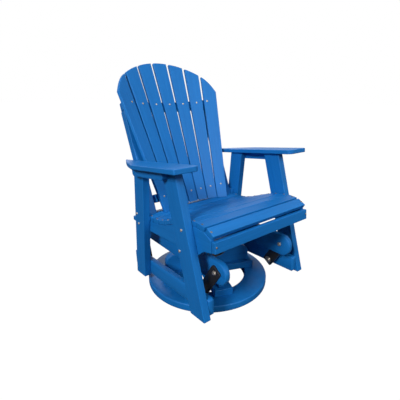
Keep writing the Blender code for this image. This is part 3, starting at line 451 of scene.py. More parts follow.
@dataclass
class Blank:
    """A solid that is being shaped in its own frame, before it is placed as a piece."""

    mesh: bmesh.types.BMesh = field(default_factory=bmesh.new)

    def push(self, outline: Sequence[Sequence[float]], start: float, stop: float, axis: Axis) -> "Blank":
        """Push a flat outline along an axis.

        Args:
            outline: The points: (y, z) for X, (x, z) for Y and (x, y) for Z.
            start: Where the push starts on the axis.
            stop: Where it stops.
            axis: The axis.

        Returns:
            The blank itself.
        """
        spots = [list(point) for point in outline]
        for spot in spots:
            spot.insert(axis.value, start)
        face = self.mesh.faces.new([self.mesh.verts.new(spot) for spot in spots])
        grown = bmesh.ops.extrude_face_region(self.mesh, geom=[face])["geom"]
        way = Vector([stop - start if letter is axis else 0.0 for letter in Axis])
        bmesh.ops.translate(self.mesh, vec=way, verts=[v for v in grown if isinstance(v, bmesh.types.BMVert)])
        return self

    def block(self, low: Corner, high: Corner) -> "Blank":
        """Add a plain board between two corners."""
        outline = ((low[0], low[1]), (high[0], low[1]), (high[0], high[1]), (low[0], high[1]))
        return self.push(outline, low[2], high[2], Axis.Z)

    def turn(self, profile: Sequence[Sequence[float]], sides: int, place: Matrix | None = None,
             closed: bool = False) -> "Blank":
        """Add a solid turned about the Z axis of a matrix.

        Args:
            profile: Points (radius, height).
            sides: How many sides it has.
            place: The matrix, or the blank's own frame.
            closed: Whether the profile's end joins its start.

        Returns:
            The blank itself.
        """
        place = place or Matrix.Identity(4)
        rings = []
        for radius, height in profile:
            count = sides if radius > ON_AXIS else 1
            turns = [2 * math.pi * step / sides for step in range(count)]
            spots = [place @ Vector((radius * math.cos(t), radius * math.sin(t), height)) for t in turns]
            rings.append([self.mesh.verts.new(spot) for spot in spots])
        pairs = list(zip(rings, rings[1:])) + ([(rings[-1], rings[0])] if closed else [])
        for low, high in pairs:
            for step in range(sides):
                after = (step + 1) % sides
                corners = dict.fromkeys((low[step % len(low)], low[after % len(low)],
                                         high[after % len(high)], high[step % len(high)]))
                if len(corners) > 2:
                    self.mesh.faces.new(list(corners))
        return self

    def trim(self, point: Vector, normal: Vector) -> "Blank":
        """Cut away what lies under a plane and close the cut.

        Args:
            point: A point of the plane.
            normal: The plane's normal, which points to the side that stays.

        Returns:
            The blank itself.
        """
        geometry = self.mesh.verts[:] + self.mesh.edges[:] + self.mesh.faces[:]
        cut = bmesh.ops.bisect_plane(self.mesh, geom=geometry, plane_co=point, plane_no=normal,
                                     clear_inner=True)
        rim = [edge for edge in cut["geom_cut"] if isinstance(edge, bmesh.types.BMEdge)]
        bmesh.ops.contextual_create(self.mesh, geom=rim)
        return self

    def join(self, other: "Blank", place: Matrix) -> "Blank":
        """Add a copy of another blank.

        Args:
            other: The other blank, which stays as it is.
            place: Where the copy goes.

        Returns:
            The blank itself.
        """
        spare = bpy.data.meshes.new("spare")
        other.mesh.to_mesh(spare)
        spare.transform(place)
        self.mesh.from_mesh(spare)
        bpy.data.meshes.remove(spare)
        return self

    def finished(self, name: str) -> bpy.types.Mesh:
        """Weld the corners, turn the faces outwards and end the blank.

        Args:
            name: The mesh's name.

        Returns:
            The mesh.
        """
        bmesh.ops.remove_doubles(self.mesh, verts=self.mesh.verts, dist=WELD)
        bmesh.ops.recalc_face_normals(self.mesh, faces=self.mesh.faces)
        shape = bpy.data.meshes.new(name)
        self.mesh.to_mesh(shape)
        self.mesh.free()
        return shape


BUTTON_DOME = ((0.0, 0.0), (1.0, 0.0), (1.0, 0.35), (0.93, 0.68), (0.74, 0.92), (0.5, 1.0), (0.42, 1.0),
               (0.40, 0.55), (0.0, 0.5))
PAN_DOME = ((0.0, 0.0), (1.0, 0.0), (0.97, 0.45), (0.78, 0.85), (0.45, 1.0), (0.42, 0.25), (0.0, 0.2))
BOLT_DOME = ((0.0, 0.0), (1.0, 0.0), (0.98, 0.3), (0.84, 0.7), (0.55, 0.97), (0.44, 1.0), (0.42, 0.3),
             (0.0, 0.25))


def domed(profile: Sequence[Spot], radius: float, height: float, sides: int) -> Blank:
    """Return a turned head, whose profile is in shares of its radius and height."""
    return Blank().turn([(across * radius, up * height) for across, up in profile], sides)


def set_out(name: str, shape: bpy.types.ID | None, where: Matrix) -> bpy.types.Object:
    """Put an object into the scene.

    Args:
        name: The object's name.
        shape: Its mesh, lamp or camera.
        where: Its place.

    Returns:
        The object.
    """
    item = bpy.data.objects.new(name, shape)
    bpy.context.scene.collection.objects.link(item)
    item.matrix_world = where
    return item


@dataclass(frozen=True)
class Bore:
    """A round hole right through a board that lies across X."""

    centre: Spot
    radius: float
    reach: float = 0.4
    sides: int = 40

    def cutter(self) -> Blank:
        """Turn the rod that cuts it.

        Returns:
            The rod's blank.
        """
        radius, reach = self.radius, self.reach
        section = ((0.0, -reach), (radius, -reach), (radius, reach), (0.0, reach))
        return Blank().turn(section, self.sides, facing((0.0, *self.centre), (1, 0, 0)))


@dataclass
class Bench:
    """Where blanks become pieces that ride on the frame."""

    pieces: int = 0

    def place(self, name: str, blank: Blank, where: Matrix, finish: Finish, body: Body,
              node: str | None = None, grain: Sequence[float] = (1, 0, 0), edge: float = 0.0,
              bores: Sequence[Bore] = ()) -> None:
        """Make a piece from a blank and put it on its body.

        Args:
            name: The piece's name.
            blank: The shaped blank.
            where: The frame that the blank was shaped in.
            finish: The piece's finish.
            body: The body that it rides on.
            node: The CAD node that it stands for.
            grain: The direction of the streaks, in the blank's frame.
            edge: The radius of the rounded edges, or zero for none.
            bores: Holes that are cut through the rounded board.
        """
        shape = blank.finished(name)
        along = Vector(grain).to_track_quat("X", "Z").to_matrix().to_4x4()
        shape.transform(along.inverted())
        shape.materials.append(finish.material())
        shape.shade_smooth()
        item = set_out(name, shape, where @ along)
        if edge:
            self._round(item, edge)
        else:
            shape.set_sharp_from_angle(angle=math.radians(SHARP_DEG))
        for bore in bores:
            self._bore(item, bore, where)
        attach(item, body.value)
        if node:
            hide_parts(node)
        self.pieces += 1
        LOG.info("%-28s on %-17s %s", name, body.value, finish.name)

    def board(self, node: str, blank: Blank, where: Matrix, body: Body, grain: Sequence[float],
              edge: float) -> None:
        """Place a lumber board that stands for a CAD node."""
        self.place(node + "_board", blank, where, LUMBER, body, node, grain, edge)

    def pair(self, stem: str, outline: Sequence[Sequence[float]], across: Spot, where: Matrix, body: Body,
             grain: Sequence[float], edge: float, bores: Sequence[Bore] = (), finish: Finish = LUMBER,
             ending: str = "_board") -> None:
        """Push an outline into the left and the right piece of a pair.

        Args:
            stem: The CAD nodes' name without the side.
            outline: The points (y, z).
            across: The pieces' inner and outer x.
            where: The frame that the pieces are shaped in.
            body: The body that they ride on.
            grain: The direction of the streaks.
            edge: The radius of the rounded edges.
            bores: The pieces' holes.
            finish: Their finish.
            ending: What a piece's name has after its node's.
        """
        for side in Side:
            blank = Blank().push(outline, side.value * across[0], side.value * across[1], Axis.X)
            node = stem + side.label
            self.place(node + ending, blank, where, finish, body, node, grain, edge, bores)

    @staticmethod
    def _bore(item: bpy.types.Object, bore: Bore, where: Matrix) -> None:
        """Cut a hole through a piece and keep the result as its mesh.

        Args:
            item: The piece.
            bore: The hole, in the frame that the piece was shaped in.
            where: That frame.
        """
        cutter = set_out("bore", bore.cutter().finished("bore"), where)
        cut = item.modifiers.new("bore", "BOOLEAN")
        cut.operation, cut.solver, cut.object = "DIFFERENCE", "EXACT", cutter
        bpy.context.view_layer.update()
        graph = bpy.context.evaluated_depsgraph_get()
        shape = bpy.data.meshes.new_from_object(item.evaluated_get(graph))
        shape.name = item.name
        item.modifiers.clear()
        item.data = shape
        bpy.data.objects.remove(cutter)
        shape.set_sharp_from_angle(angle=math.radians(BORE_SHARP_DEG))

    @staticmethod
    def _round(item: bpy.types.Object, width: float) -> None:
        """Round the sharp edges of a board, as a router bit does.

        Args:
            item: The board.
            width: The radius of the edges.
        """
        bevel = item.modifiers.new("edge_round", "BEVEL")
        bevel.width = width
        bevel.segments = EDGE_STEPS
        bevel.limit_method = "ANGLE"
        bevel.angle_limit = math.radians(SHARP_DEG)
        bevel.harden_normals = True

    def redress(self, node: str, finish: Finish) -> None:
        """Give a CAD node that stays in view its finish.

        Args:
            node: The node's name.
            finish: Its finish.
        """
        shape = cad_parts[node].data
        shape.materials.clear()
        shape.materials.append(finish.material())
        LOG.info("%-28s keeps its solid     %s", node, finish.name)


@dataclass(frozen=True)
class Assembly:
    """What every sub-assembly has: the bench that places its pieces."""

    bench: Bench

    def build(self) -> None:
        """Make the assembly's pieces."""
        raise NotImplementedError


@dataclass(frozen=True)
class LegLine:
    """A leg seen from the side: its front edge leans from its foot."""

    foot_y: float
    lean_deg: float
    width: float
    foot_drop: float = 0.042

    @property
    def lean(self) -> float:
        """Return how far the leg goes back for each unit of height."""
        return math.tan(math.radians(self.lean_deg))

    @property
    def depth(self) -> float:
        """Return the leg's width measured level."""
        return self.width / math.cos(math.radians(self.lean_deg))

    def front(self, height: float) -> float:
        """Return the y of the front edge at a height."""
        return self.foot_y + (height + self.foot_drop) * self.lean


@dataclass(frozen=True)
class Layout:
    """The places that the assemblies share, as in the frame's solids."""

    gap: float = 0.0003
    swivel_y: float = -0.0178
    base_turn_deg: float = -21.0
    rail_pivot_y: float = -0.3055
    pivot_z: float = 0.2482
    arm_reach: float = 0.1469
    arm_slant_deg: float = 32.07
    chair_pitch_deg: float = 2.7
    lower_span: float = 0.4600
    rear_pivot_rise: float = 0.0042
    rail_inner_x: float = 0.1830
    rail_outer_x: float = 0.2080
    plate_inner_x: float = 0.2085
    plate_outer_x: float = 0.2165
    stretcher_inner_x: float = 0.2490
    stretcher_outer_x: float = 0.2767
    leg_inner_x: float = 0.2770
    leg_outer_x: float = 0.3100
    seat_side_inner_x: float = 0.2580
    post_outer_x: float = 0.2577
    post_inner_x: float = 0.2222
    seat_half_length: float = 0.275
    seat_board_thickness: float = 0.020
    seat_board_width: float = 0.0440
    seat_board_gap: float = 0.0042
    notch_gap: float = 0.001
    nose_rear_top: Spot = (-0.1120, 0.3327)
    nose_tilt_deg: float = 29.8
    slat_front_top: Spot = (-0.1020, 0.3340)
    slat_tilts_deg: tuple[float, ...] = (6.5, -4.4, -9.0, -16.6, -18.4, -18.6, -13.6, -4.6, 8.6)
    back_foot: Spot = (0.3243, 0.2701)
    back_recline_deg: float = 20.5
    arm_front_top: Spot = (-0.0663, 0.5499)
    arm_slope_deg: float = 4.36
    arm_thickness: float = 0.0195
    front_leg: LegLine = LegLine(-0.1325, 15.18, 0.0872)
    rear_leg: LegLine = LegLine(0.3300, -7.03, 0.0804)

    @property
    def base(self) -> Matrix:
        """Return the frame of the ring and the planks."""
        return self.glider @ tilted(self.base_turn_deg, Axis.Z)

    @property
    def glider(self) -> Matrix:
        """Return the frame of the rails."""
        return moved(0, self.swivel_y, 0)

    @property
    def front_upper(self) -> Vector:
        """Return the front upper pivot (y, z) in the rails' frame."""
        return Vector((self.rail_pivot_y, self.pivot_z))

    @property
    def front_lower(self) -> Vector:
        """Return the front lower pivot (y, z) in the rails' frame."""
        slant = math.radians(self.arm_slant_deg)
        return self.front_upper + self.arm_reach * Vector((math.sin(slant), -math.cos(slant)))

    @property
    def rear_lower(self) -> Vector:
        """Find the rear lower pivot.

        Returns:
            Its (y, z) in the rails' frame.
        """
        pitch = math.radians(self.chair_pitch_deg)
        run, rise = self.lower_span, self.rear_pivot_rise
        return self.front_lower + Vector((run * math.cos(pitch) + rise * math.sin(pitch),
                                          rise * math.cos(pitch) - run * math.sin(pitch)))

    @property
    def rear_slant(self) -> float:
        """Return the rear swing arms' slant."""
        return math.acos((self.pivot_z - self.rear_lower.y) / self.arm_reach)

    @property
    def rear_upper(self) -> Vector:
        """Return the rear upper pivot (y, z) in the rails' frame."""
        slant = self.rear_slant
        return self.rear_lower + self.arm_reach * Vector((math.sin(slant), math.cos(slant)))

    def swing(self, end: End) -> Matrix:
        """Find the frame of a pair of swing arms, whose Z axis runs up the arms.

        Args:
            end: The front or the rear pair.

        Returns:
            The frame in the world.
        """
        if end is End.FRONT:
            return self.glider @ moved(0, *self.front_upper) @ tilted(self.arm_slant_deg)
        return self.glider @ moved(0, *self.rear_upper) @ tilted(-math.degrees(self.rear_slant))

    @property
    def chair(self) -> Matrix:
        """Return the chair's own frame."""
        return self.glider @ moved(0, *self.front_lower) @ tilted(-self.chair_pitch_deg)

    @property
    def back(self) -> Matrix:
        """Return the frame of the back: x across, y to the rear, z up the slope."""
        return self.chair @ moved(0, *self.back_foot) @ tilted(-self.back_recline_deg)

    @property
    def arms(self) -> Matrix:
        """Return the frame of the arm boards."""
        return self.chair @ moved(0, *self.arm_front_top) @ tilted(-self.arm_slope_deg)

    def under_arm(self, leg: LegLine, shift: float = 0.0) -> Spot:
        """Return where an edge of a leg meets the underside of the arm board.

        Args:
            leg: The leg.
            shift: How far the edge lies behind the leg's front edge, measured level.

        Returns:
            The point (y, z).
        """
        slope = math.radians(self.arm_slope_deg)
        fall = -math.tan(slope)
        level = self.arm_front_top[1] - (self.arm_thickness + self.gap) / math.cos(slope)
        level -= fall * self.arm_front_top[0]
        height = (level + fall * (leg.foot_y + shift + leg.foot_drop * leg.lean)) / (1 - fall * leg.lean)
        return leg.front(height) + shift, height

    @property
    def seat_boards(self) -> list[tuple[Vector, float]]:
        """Lay the seat boards one behind the other.

        Returns:
            Each board's top front edge (y, z) and tilt, from the nose to the back.
        """
        nose_tilt = math.radians(self.nose_tilt_deg)
        nose_run = self.seat_board_width * Vector((math.cos(nose_tilt), math.sin(nose_tilt)))
        boards = [(Vector(self.nose_rear_top) - nose_run, nose_tilt)]
        front = Vector(self.slat_front_top)
        for index, degrees in enumerate(self.slat_tilts_deg):
            tilt = math.radians(degrees)
            heading = Vector((math.cos(tilt), math.sin(tilt)))
            if index:
                front = front + self.seat_board_gap * heading
            boards.append((front, tilt))
            front = front + self.seat_board_width * heading
        return boards

    @property
    def rear_slat_tab(self) -> float:
        """Find how far the rear seat slat's ends run back before they are notched round the posts.

        Returns:
            The run from the slat's front edge.
        """
        under = self.under_board(*self.seat_boards[-1], 0.0)
        recline = math.radians(self.back_recline_deg)
        post = self.back_foot[0] + (under.y - self.back_foot[1]) * math.tan(recline)
        return post - under.x - self.notch_gap

    def under_board(self, front: Vector, tilt: float, run: float) -> Vector:
        """Return a point just under a seat board, at a run from its front edge.

        Args:
            front: The board's top front edge (y, z).
            tilt: The board's tilt.
            run: The distance from the front edge.

        Returns:
            The point (y, z).
        """
        drop = self.seat_board_thickness + self.gap
        return front + Vector((math.cos(tilt) * run + math.sin(tilt) * drop,
                               math.sin(tilt) * run - math.cos(tilt) * drop))


PLACES = Layout()


@dataclass(frozen=True)
class RingBase(Assembly):
    """The ring on the floor, the crossed planks on it and the crossed risers on them."""

    ring_radius: float = 0.304
    ring_inner_radius: float = 0.192
    ring_thickness: float = 0.036
    ring_edge: float = 0.007
    ring_sides: int = 144
    edge_step_deg: float = 15.0
    plank_width: float = 0.089
    plank_thickness: float = 0.036
    plank_reach: float = 0.240
    riser_thickness: float = 0.038
    riser_height: float = 0.089
    riser_reach: float = 0.220
    riser_corner: float = 0.045
    edge: float = 0.003

    @property
    def plank_bottom(self) -> float:
        """Return the height of the planks' undersides."""
        return self.ring_thickness + PLACES.gap

    @property
    def riser_bottom(self) -> float:
        """Return the height of the risers' lower edges."""
        return self.plank_bottom + self.plank_thickness + PLACES.gap

    def build(self) -> None:
        """Make the ring, the planks and the risers."""
        self._ring()
        self._planks()
        self._risers()

    def _ring(self) -> None:
        """Make the flat ring with its round edges."""
        inner, outer = self.ring_inner_radius, self.ring_radius
        top, edge = self.ring_thickness, self.ring_edge
        corners = ((inner, 0, edge), (outer, 0, edge), (outer, top, edge), (inner, top, edge))
        blank = Blank().turn(rounded(corners, self.edge_step_deg), self.ring_sides, closed=True)
        self.bench.place("base_ring_sheet", blank, PLACES.glider, SHEET_LUMBER, Body.BASE, "base_ring")

    def _planks(self) -> None:
        """Make the long plank and the two short ones that butt against it."""
        half = self.plank_width / 2
        inner, reach = half + PLACES.gap, self.plank_reach
        bottom, top = self.plank_bottom, self.plank_bottom + self.plank_thickness
        for node, low, high, grain in (
            ("base_plank_long", (-half, -reach), (half, reach), (0, 1, 0)),
            ("base_plank_left", (inner, -half), (reach, half), (1, 0, 0)),
            ("base_plank_right", (-reach, -half), (-inner, half), (1, 0, 0)),
        ):
            blank = Blank().block((*low, bottom), (*high, top))
            self.bench.board(node, blank, PLACES.base, Body.BASE, grain, self.edge)

    def _risers(self) -> None:
        """Make the two boards on edge, each notched halfway to take the other."""
        half, reach = self.riser_thickness / 2, self.riser_reach
        notch = half + PLACES.gap
        low, high = self.riser_bottom, self.riser_bottom + self.riser_height
        middle, corner = (low + high) / 2, self.riser_corner
        cross = rounded((
            (-reach, low, 0), (-notch, low, 0), (-notch, middle + PLACES.gap, 0),
            (notch, middle + PLACES.gap, 0), (notch, low, 0), (reach, low, 0),
            (reach, high, corner), (-reach, high, corner),
        ))
        long = rounded((
            (-reach, low, 0), (reach, low, 0), (reach, high, corner), (notch, high, 0),
            (notch, middle, 0), (-notch, middle, 0), (-notch, high, 0), (-reach, high, corner),
        ))
        for node, outline, axis, grain in (
            ("riser_cross", cross, Axis.Y, (1, 0, 0)), ("riser_long", long, Axis.X, (0, 1, 0)),
        ):
            blank = Blank().push(outline, -half, half, axis)
            self.bench.board(node, blank, PLACES.base, Body.BASE, grain, self.edge)


@dataclass(frozen=True)
class BallSwivel(Assembly):
    """The ball-race swivel between the risers and the glider frame."""

    flange_radius: float = 0.095
    hole_radius: float = 0.012
    sheet: float = 0.003
    running_gap: float = 0.0008
    bottom: float = 0.1619
    height: float = 0.035
    cup_radius: float = 0.072
    lip_width: float = 0.0075
    race_width: float = 0.0225
    ball_radius: float = 0.005
    sides: int = 96

    def build(self) -> None:
        """Make the two plates, and dress the balls and their cage."""
        sheet, gap = self.sheet, PLACES.gap
        cup = self.cup_radius - sheet
        lip = self.cup_radius - self.lip_width
        floor = self.bottom + sheet
        roof = floor + 2 * (self.ball_radius + gap)
        lip_low = roof + sheet + gap
        top = self.bottom + self.height
        lower = (
            (self.hole_radius, self.bottom), (self.flange_radius, self.bottom), (self.flange_radius, floor),
            (self.cup_radius, floor), (self.cup_radius, lip_low + sheet), (lip, lip_low + sheet),
            (lip, lip_low), (cup, lip_low), (cup, floor), (self.hole_radius, floor),
        )
        neck, race = lip - self.running_gap, cup - self.running_gap
        upper = (
            (race - self.race_width, roof), (race, roof), (race, roof + sheet), (neck, roof + sheet),
            (neck, top - sheet), (self.flange_radius, top - sheet), (self.flange_radius, top),
            (self.hole_radius, top), (self.hole_radius, top - sheet), (neck - sheet, top - sheet),
            (neck - sheet, roof + sheet), (race - self.race_width, roof + sheet),
        )
        for node, section, body in (
            ("swivel_lower_plate", lower, Body.BASE), ("swivel_upper_plate", upper, Body.GLIDER),
        ):
            blank = Blank().turn(section, self.sides, closed=True)
            self.bench.place(node + "_pressing", blank, PLACES.glider, ZINC, body, node)
        self.bench.redress("swivel_ball_cage", BRIGHT_STEEL)


@dataclass(frozen=True)
class HexBolt:
    """The shank and the hex head of a pivot bolt, with the washer under the head."""

    shank_radius: float = 0.005
    shank_sides: int = 24
    washer_radius: float = 0.0100
    washer_thickness: float = 0.0013
    washer_edge: float = 0.0003
    washer_sides: int = 36
    head_radius: float = 0.0088
    head_height: float = 0.0052
    chamfer: float = 0.0011
    dimple: float = 0.0004
    shares: Corner = (0.86, 0.42, 0.36)

    def head(self, seat: float, way: int = 1) -> Blank:
        """Make a washer and a chamfered hex head.

        Args:
            seat: The height that the washer lies on.
            way: 1 for a head that points up, -1 for one that points down.

        Returns:
            The blank.
        """
        lift, top = self.washer_thickness, self.washer_thickness + self.head_height
        shank, rim, edge, hub = self.shank_radius, self.washer_radius, self.washer_edge, self.head_radius
        crown, ring, dip = (hub * share for share in self.shares)
        washer = ((shank, 0.0), (rim - edge, 0.0), (rim, edge), (rim, lift - edge), (rim - edge, lift),
                  (shank, lift))
        hexagon = ((0.0, lift), (hub, lift), (hub, top - self.chamfer), (crown, top), (ring, top),
                   (dip, top - self.dimple), (0.0, top - self.dimple))
        blank = Blank()
        blank.turn([(r, seat + way * h) for r, h in washer], self.washer_sides, closed=True)
        blank.turn([(r, seat + way * h) for r, h in hexagon], 6)
        return blank

    def shank(self, low: float, high: float) -> Blank:
        """Return a shank between two heights."""
        radius = self.shank_radius
        return Blank().turn(((0, low), (radius, low), (radius, high), (0, high)), self.shank_sides)


@dataclass(frozen=True)
class GliderFrame(Assembly):
    """The rails, the boards between them, and the bolts that the swing arms turn on."""

    rail_bottom: float = 0.1972
    rail_height: float = 0.098
    end_reach: float = 0.056
    corner: float = 0.046
    cross_width: float = 0.089
    cross_thickness: float = 0.036
    cross_offset: float = 0.070
    edge: float = 0.003
    bolt: HexBolt = HexBolt()

    def build(self) -> None:
        """Make the rails, the cross boards and the upper pivot bolts."""
        self._rails()
        self._crosses()
        self._bolts()

    def _rails(self) -> None:
        """Make the two rails with their round noses and bolt holes."""
        low, high = self.rail_bottom, self.rail_bottom + self.rail_height
        front, rear = PLACES.front_upper.x - self.end_reach, PLACES.rear_upper.x + self.end_reach
        outline = rounded((
            (front, low, self.corner), (rear, low, self.corner), (rear, high, self.corner),
            (front, high, self.corner),
        ))
        radius = self.bolt.shank_radius + PLACES.gap
        bores = [Bore(tuple(pivot), radius) for pivot in (PLACES.front_upper, PLACES.rear_upper)]
        self.bench.pair("glider_rail_", outline, (PLACES.rail_inner_x, PLACES.rail_outer_x), PLACES.glider,
                        Body.GLIDER, (0, 1, 0), self.edge, bores)

    def _crosses(self) -> None:
        """Make the boards that tie the rails over the swivel."""
        reach = PLACES.rail_inner_x - PLACES.gap
        for end, way in ((End.FRONT, -1), (End.REAR, 1)):
            centre = way * self.cross_offset
            low = (-reach, centre - self.cross_width / 2, self.rail_bottom)
            high = (reach, centre + self.cross_width / 2, self.rail_bottom + self.cross_thickness)
            node = "frame_cross_" + end.value
            blank = Blank().block(low, high)
            self.bench.board(node, blank, PLACES.glider, Body.GLIDER, (1, 0, 0), self.edge)

    def _bolts(self) -> None:
        """Make the upper pivot bolts, each with a head outside the swing arm and a nut inside the rail."""
        head = PLACES.plate_outer_x + PLACES.gap
        reach = head - PLACES.rail_inner_x + PLACES.gap
        for end, pivot in ((End.FRONT, PLACES.front_upper), (End.REAR, PLACES.rear_upper)):
            for side in Side:
                blank = self.bolt.head(0.0)
                blank.join(self.bolt.head(-reach, -1), Matrix.Identity(4))
                blank.join(self.bolt.shank(-reach, 0), Matrix.Identity(4))
                where = PLACES.glider @ facing((side.value * head, pivot.x, pivot.y), (side.value, 0, 0))
                node = f"upper_pivot_bolt_{end.value}_{side.label}"
                self.bench.place(node + "_set", blank, where, BRIGHT_STEEL, Body.GLIDER, node)


@dataclass(frozen=True)
class SwingArms(Assembly):
    """The four steel plates that the chair swings on; the rear ones are bored wide below."""

    width: float = 0.054
    end: float = 0.020
    corner: float = 0.009
    edge: float = 0.001
    bore: float = 0.0053
    wide_bore: float = 0.0105

    def build(self) -> None:
        """Make the plates."""
        half, reach = self.width / 2, PLACES.arm_reach
        outline = rounded((
            (-half, self.end, self.corner), (-half, -reach - self.end, self.corner),
            (half, -reach - self.end, self.corner), (half, self.end, self.corner),
        ))
        for end, body, lower in (
            (End.FRONT, Body.FRONT_ARMS, self.bore), (End.REAR, Body.REAR_ARMS, self.wide_bore),
        ):
            bores = [Bore((0, 0), self.bore), Bore((0, -reach), lower)]
            across = (PLACES.plate_inner_x, PLACES.plate_outer_x)
            self.bench.pair(f"swing_arm_{end.value}_", outline, across, PLACES.swing(end), body, (0, 0, 1),
                            self.edge, bores, BLACK_PLATE, "_plate")


@dataclass(frozen=True)
class ChairFrame(Assembly):
    """The stretchers with the lower pivot bolts, the legs and the batten behind them."""

    stretcher_height: float = 0.073
    stretcher_top: float = 0.0385
    stretcher_front: float = 0.1170
    stretcher_rear_reach: float = 0.0200
    nose_round: float = 0.012
    corner_round: float = 0.006
    leg_corner: float = 0.004
    edge: float = 0.003
    batten: float = 0.020
    batten_z: float = 0.2450
    batten_edge: float = 0.0025
    sleeve_radius: float = 0.017
    flange_radius: float = 0.0165
    flange_thickness: float = 0.002
    flange_edge: float = 0.0004
    round_sides: int = 40
    nut_radius: float = 0.0098
    nut_top_radius: float = 0.0085
    nut_height: float = 0.0055
    nut_chamfer: float = 0.001
    thread_end: float = 0.0065
    head_radius: float = 0.010
    head_height: float = 0.0065
    head_sides: int = 24
    bolt: HexBolt = HexBolt()

    def build(self) -> None:
        """Make the stretchers, the lower bolts, the legs and the batten."""
        self._stretchers()
        self._bolts()
        self._legs()
        self._batten()

    def _stretchers(self) -> None:
        """Make the lower side boards, bored for the bolt heads that are sunk in them."""
        rear = PLACES.lower_span + self.stretcher_rear_reach
        top, bottom = self.stretcher_top, self.stretcher_top - self.stretcher_height
        outline = rounded((
            (-self.stretcher_front, bottom, self.corner_round), (rear, bottom, self.corner_round),
            (rear, top, self.corner_round), (-self.stretcher_front, top, self.nose_round),
        ))
        radius = self.head_radius + PLACES.gap
        bores = [Bore((0, 0), radius), Bore((PLACES.lower_span, PLACES.rear_pivot_rise), radius)]
        across = (PLACES.stretcher_inner_x, PLACES.stretcher_outer_x)
        self.bench.pair("stretcher_", outline, across, PLACES.chair, Body.CHAIR, (0, 1, 0), self.edge, bores)

    def _bolts(self) -> None:
        """Make the lower pivot bolts, each with its head, sleeve, washer and nut."""
        gap = PLACES.gap
        seat = PLACES.stretcher_outer_x - self.head_height - gap
        reach = seat - PLACES.plate_inner_x + gap
        flange = reach + self.flange_thickness
        sleeve_high = seat - PLACES.stretcher_inner_x + gap
        sleeve_low = seat - PLACES.plate_outer_x - gap
        shank, rim, edge = self.bolt.shank_radius, self.flange_radius, self.flange_edge
        top, hub = flange + self.nut_height, self.nut_radius
        collar = ((shank, -flange), (rim - edge, -flange), (rim, -flange + edge), (rim, -reach),
                  (shank, -reach))
        nut = ((0, -top), (self.nut_top_radius, -top), (hub, -top + self.nut_chamfer), (hub, -flange),
               (0, -flange))
        sleeve = ((shank, -sleeve_low), (self.sleeve_radius, -sleeve_low),
                  (self.sleeve_radius, -sleeve_high), (shank, -sleeve_high))
        for end, pivot in ((End.FRONT, (0.0, 0.0)), (End.REAR, (PLACES.lower_span, PLACES.rear_pivot_rise))):
            for side in Side:
                blank = self.bolt.shank(-flange - self.thread_end, 0)
                button = domed(BUTTON_DOME, self.head_radius, self.head_height, self.head_sides)
                blank.join(button, Matrix.Identity(4))
                blank.turn(collar, self.round_sides, closed=True)
                blank.turn(nut, 6)
                blank.turn(sleeve, self.round_sides, closed=True)
                where = PLACES.chair @ facing((side.value * seat, *pivot), (side.value, 0, 0))
                node = f"lower_pivot_bolt_{end.value}_{side.label}"
                self.bench.place(node + "_set", blank, where, BRIGHT_STEEL, Body.CHAIR, node)

    def _legs(self) -> None:
        """Make the legs, with feet cut square to the stretchers and tops cut along the arms."""
        for end, leg in ((End.FRONT, PLACES.front_leg), (End.REAR, PLACES.rear_leg)):
            foot, heel, drop = leg.foot_y, leg.foot_y + leg.depth, -leg.foot_drop
            outline = rounded((
                (foot, drop, self.leg_corner), (heel, drop, self.leg_corner),
                (*PLACES.under_arm(leg, leg.depth), 0), (*PLACES.under_arm(leg), 0),
            ))
            across = (PLACES.leg_inner_x, PLACES.leg_outer_x)
            self.bench.pair(f"leg_{end.value}_", outline, across, PLACES.chair, Body.CHAIR,
                            (0, leg.lean, 1), self.edge)

    def _batten(self) -> None:
        """Make the batten behind the rear legs."""
        leg, half = PLACES.rear_leg, self.batten / 2
        low = (-PLACES.leg_outer_x, PLACES.gap, -half)
        high = (PLACES.leg_outer_x, PLACES.gap + self.batten, half)
        where = PLACES.chair @ moved(0, leg.front(self.batten_z) + leg.depth, self.batten_z)
        blank = Blank().block(low, high)
        self.bench.place("rear_cross_board_batten", blank, where @ tilted(-leg.lean_deg), LUMBER, Body.CHAIR,
                         "rear_cross_board", (1, 0, 0), self.batten_edge)


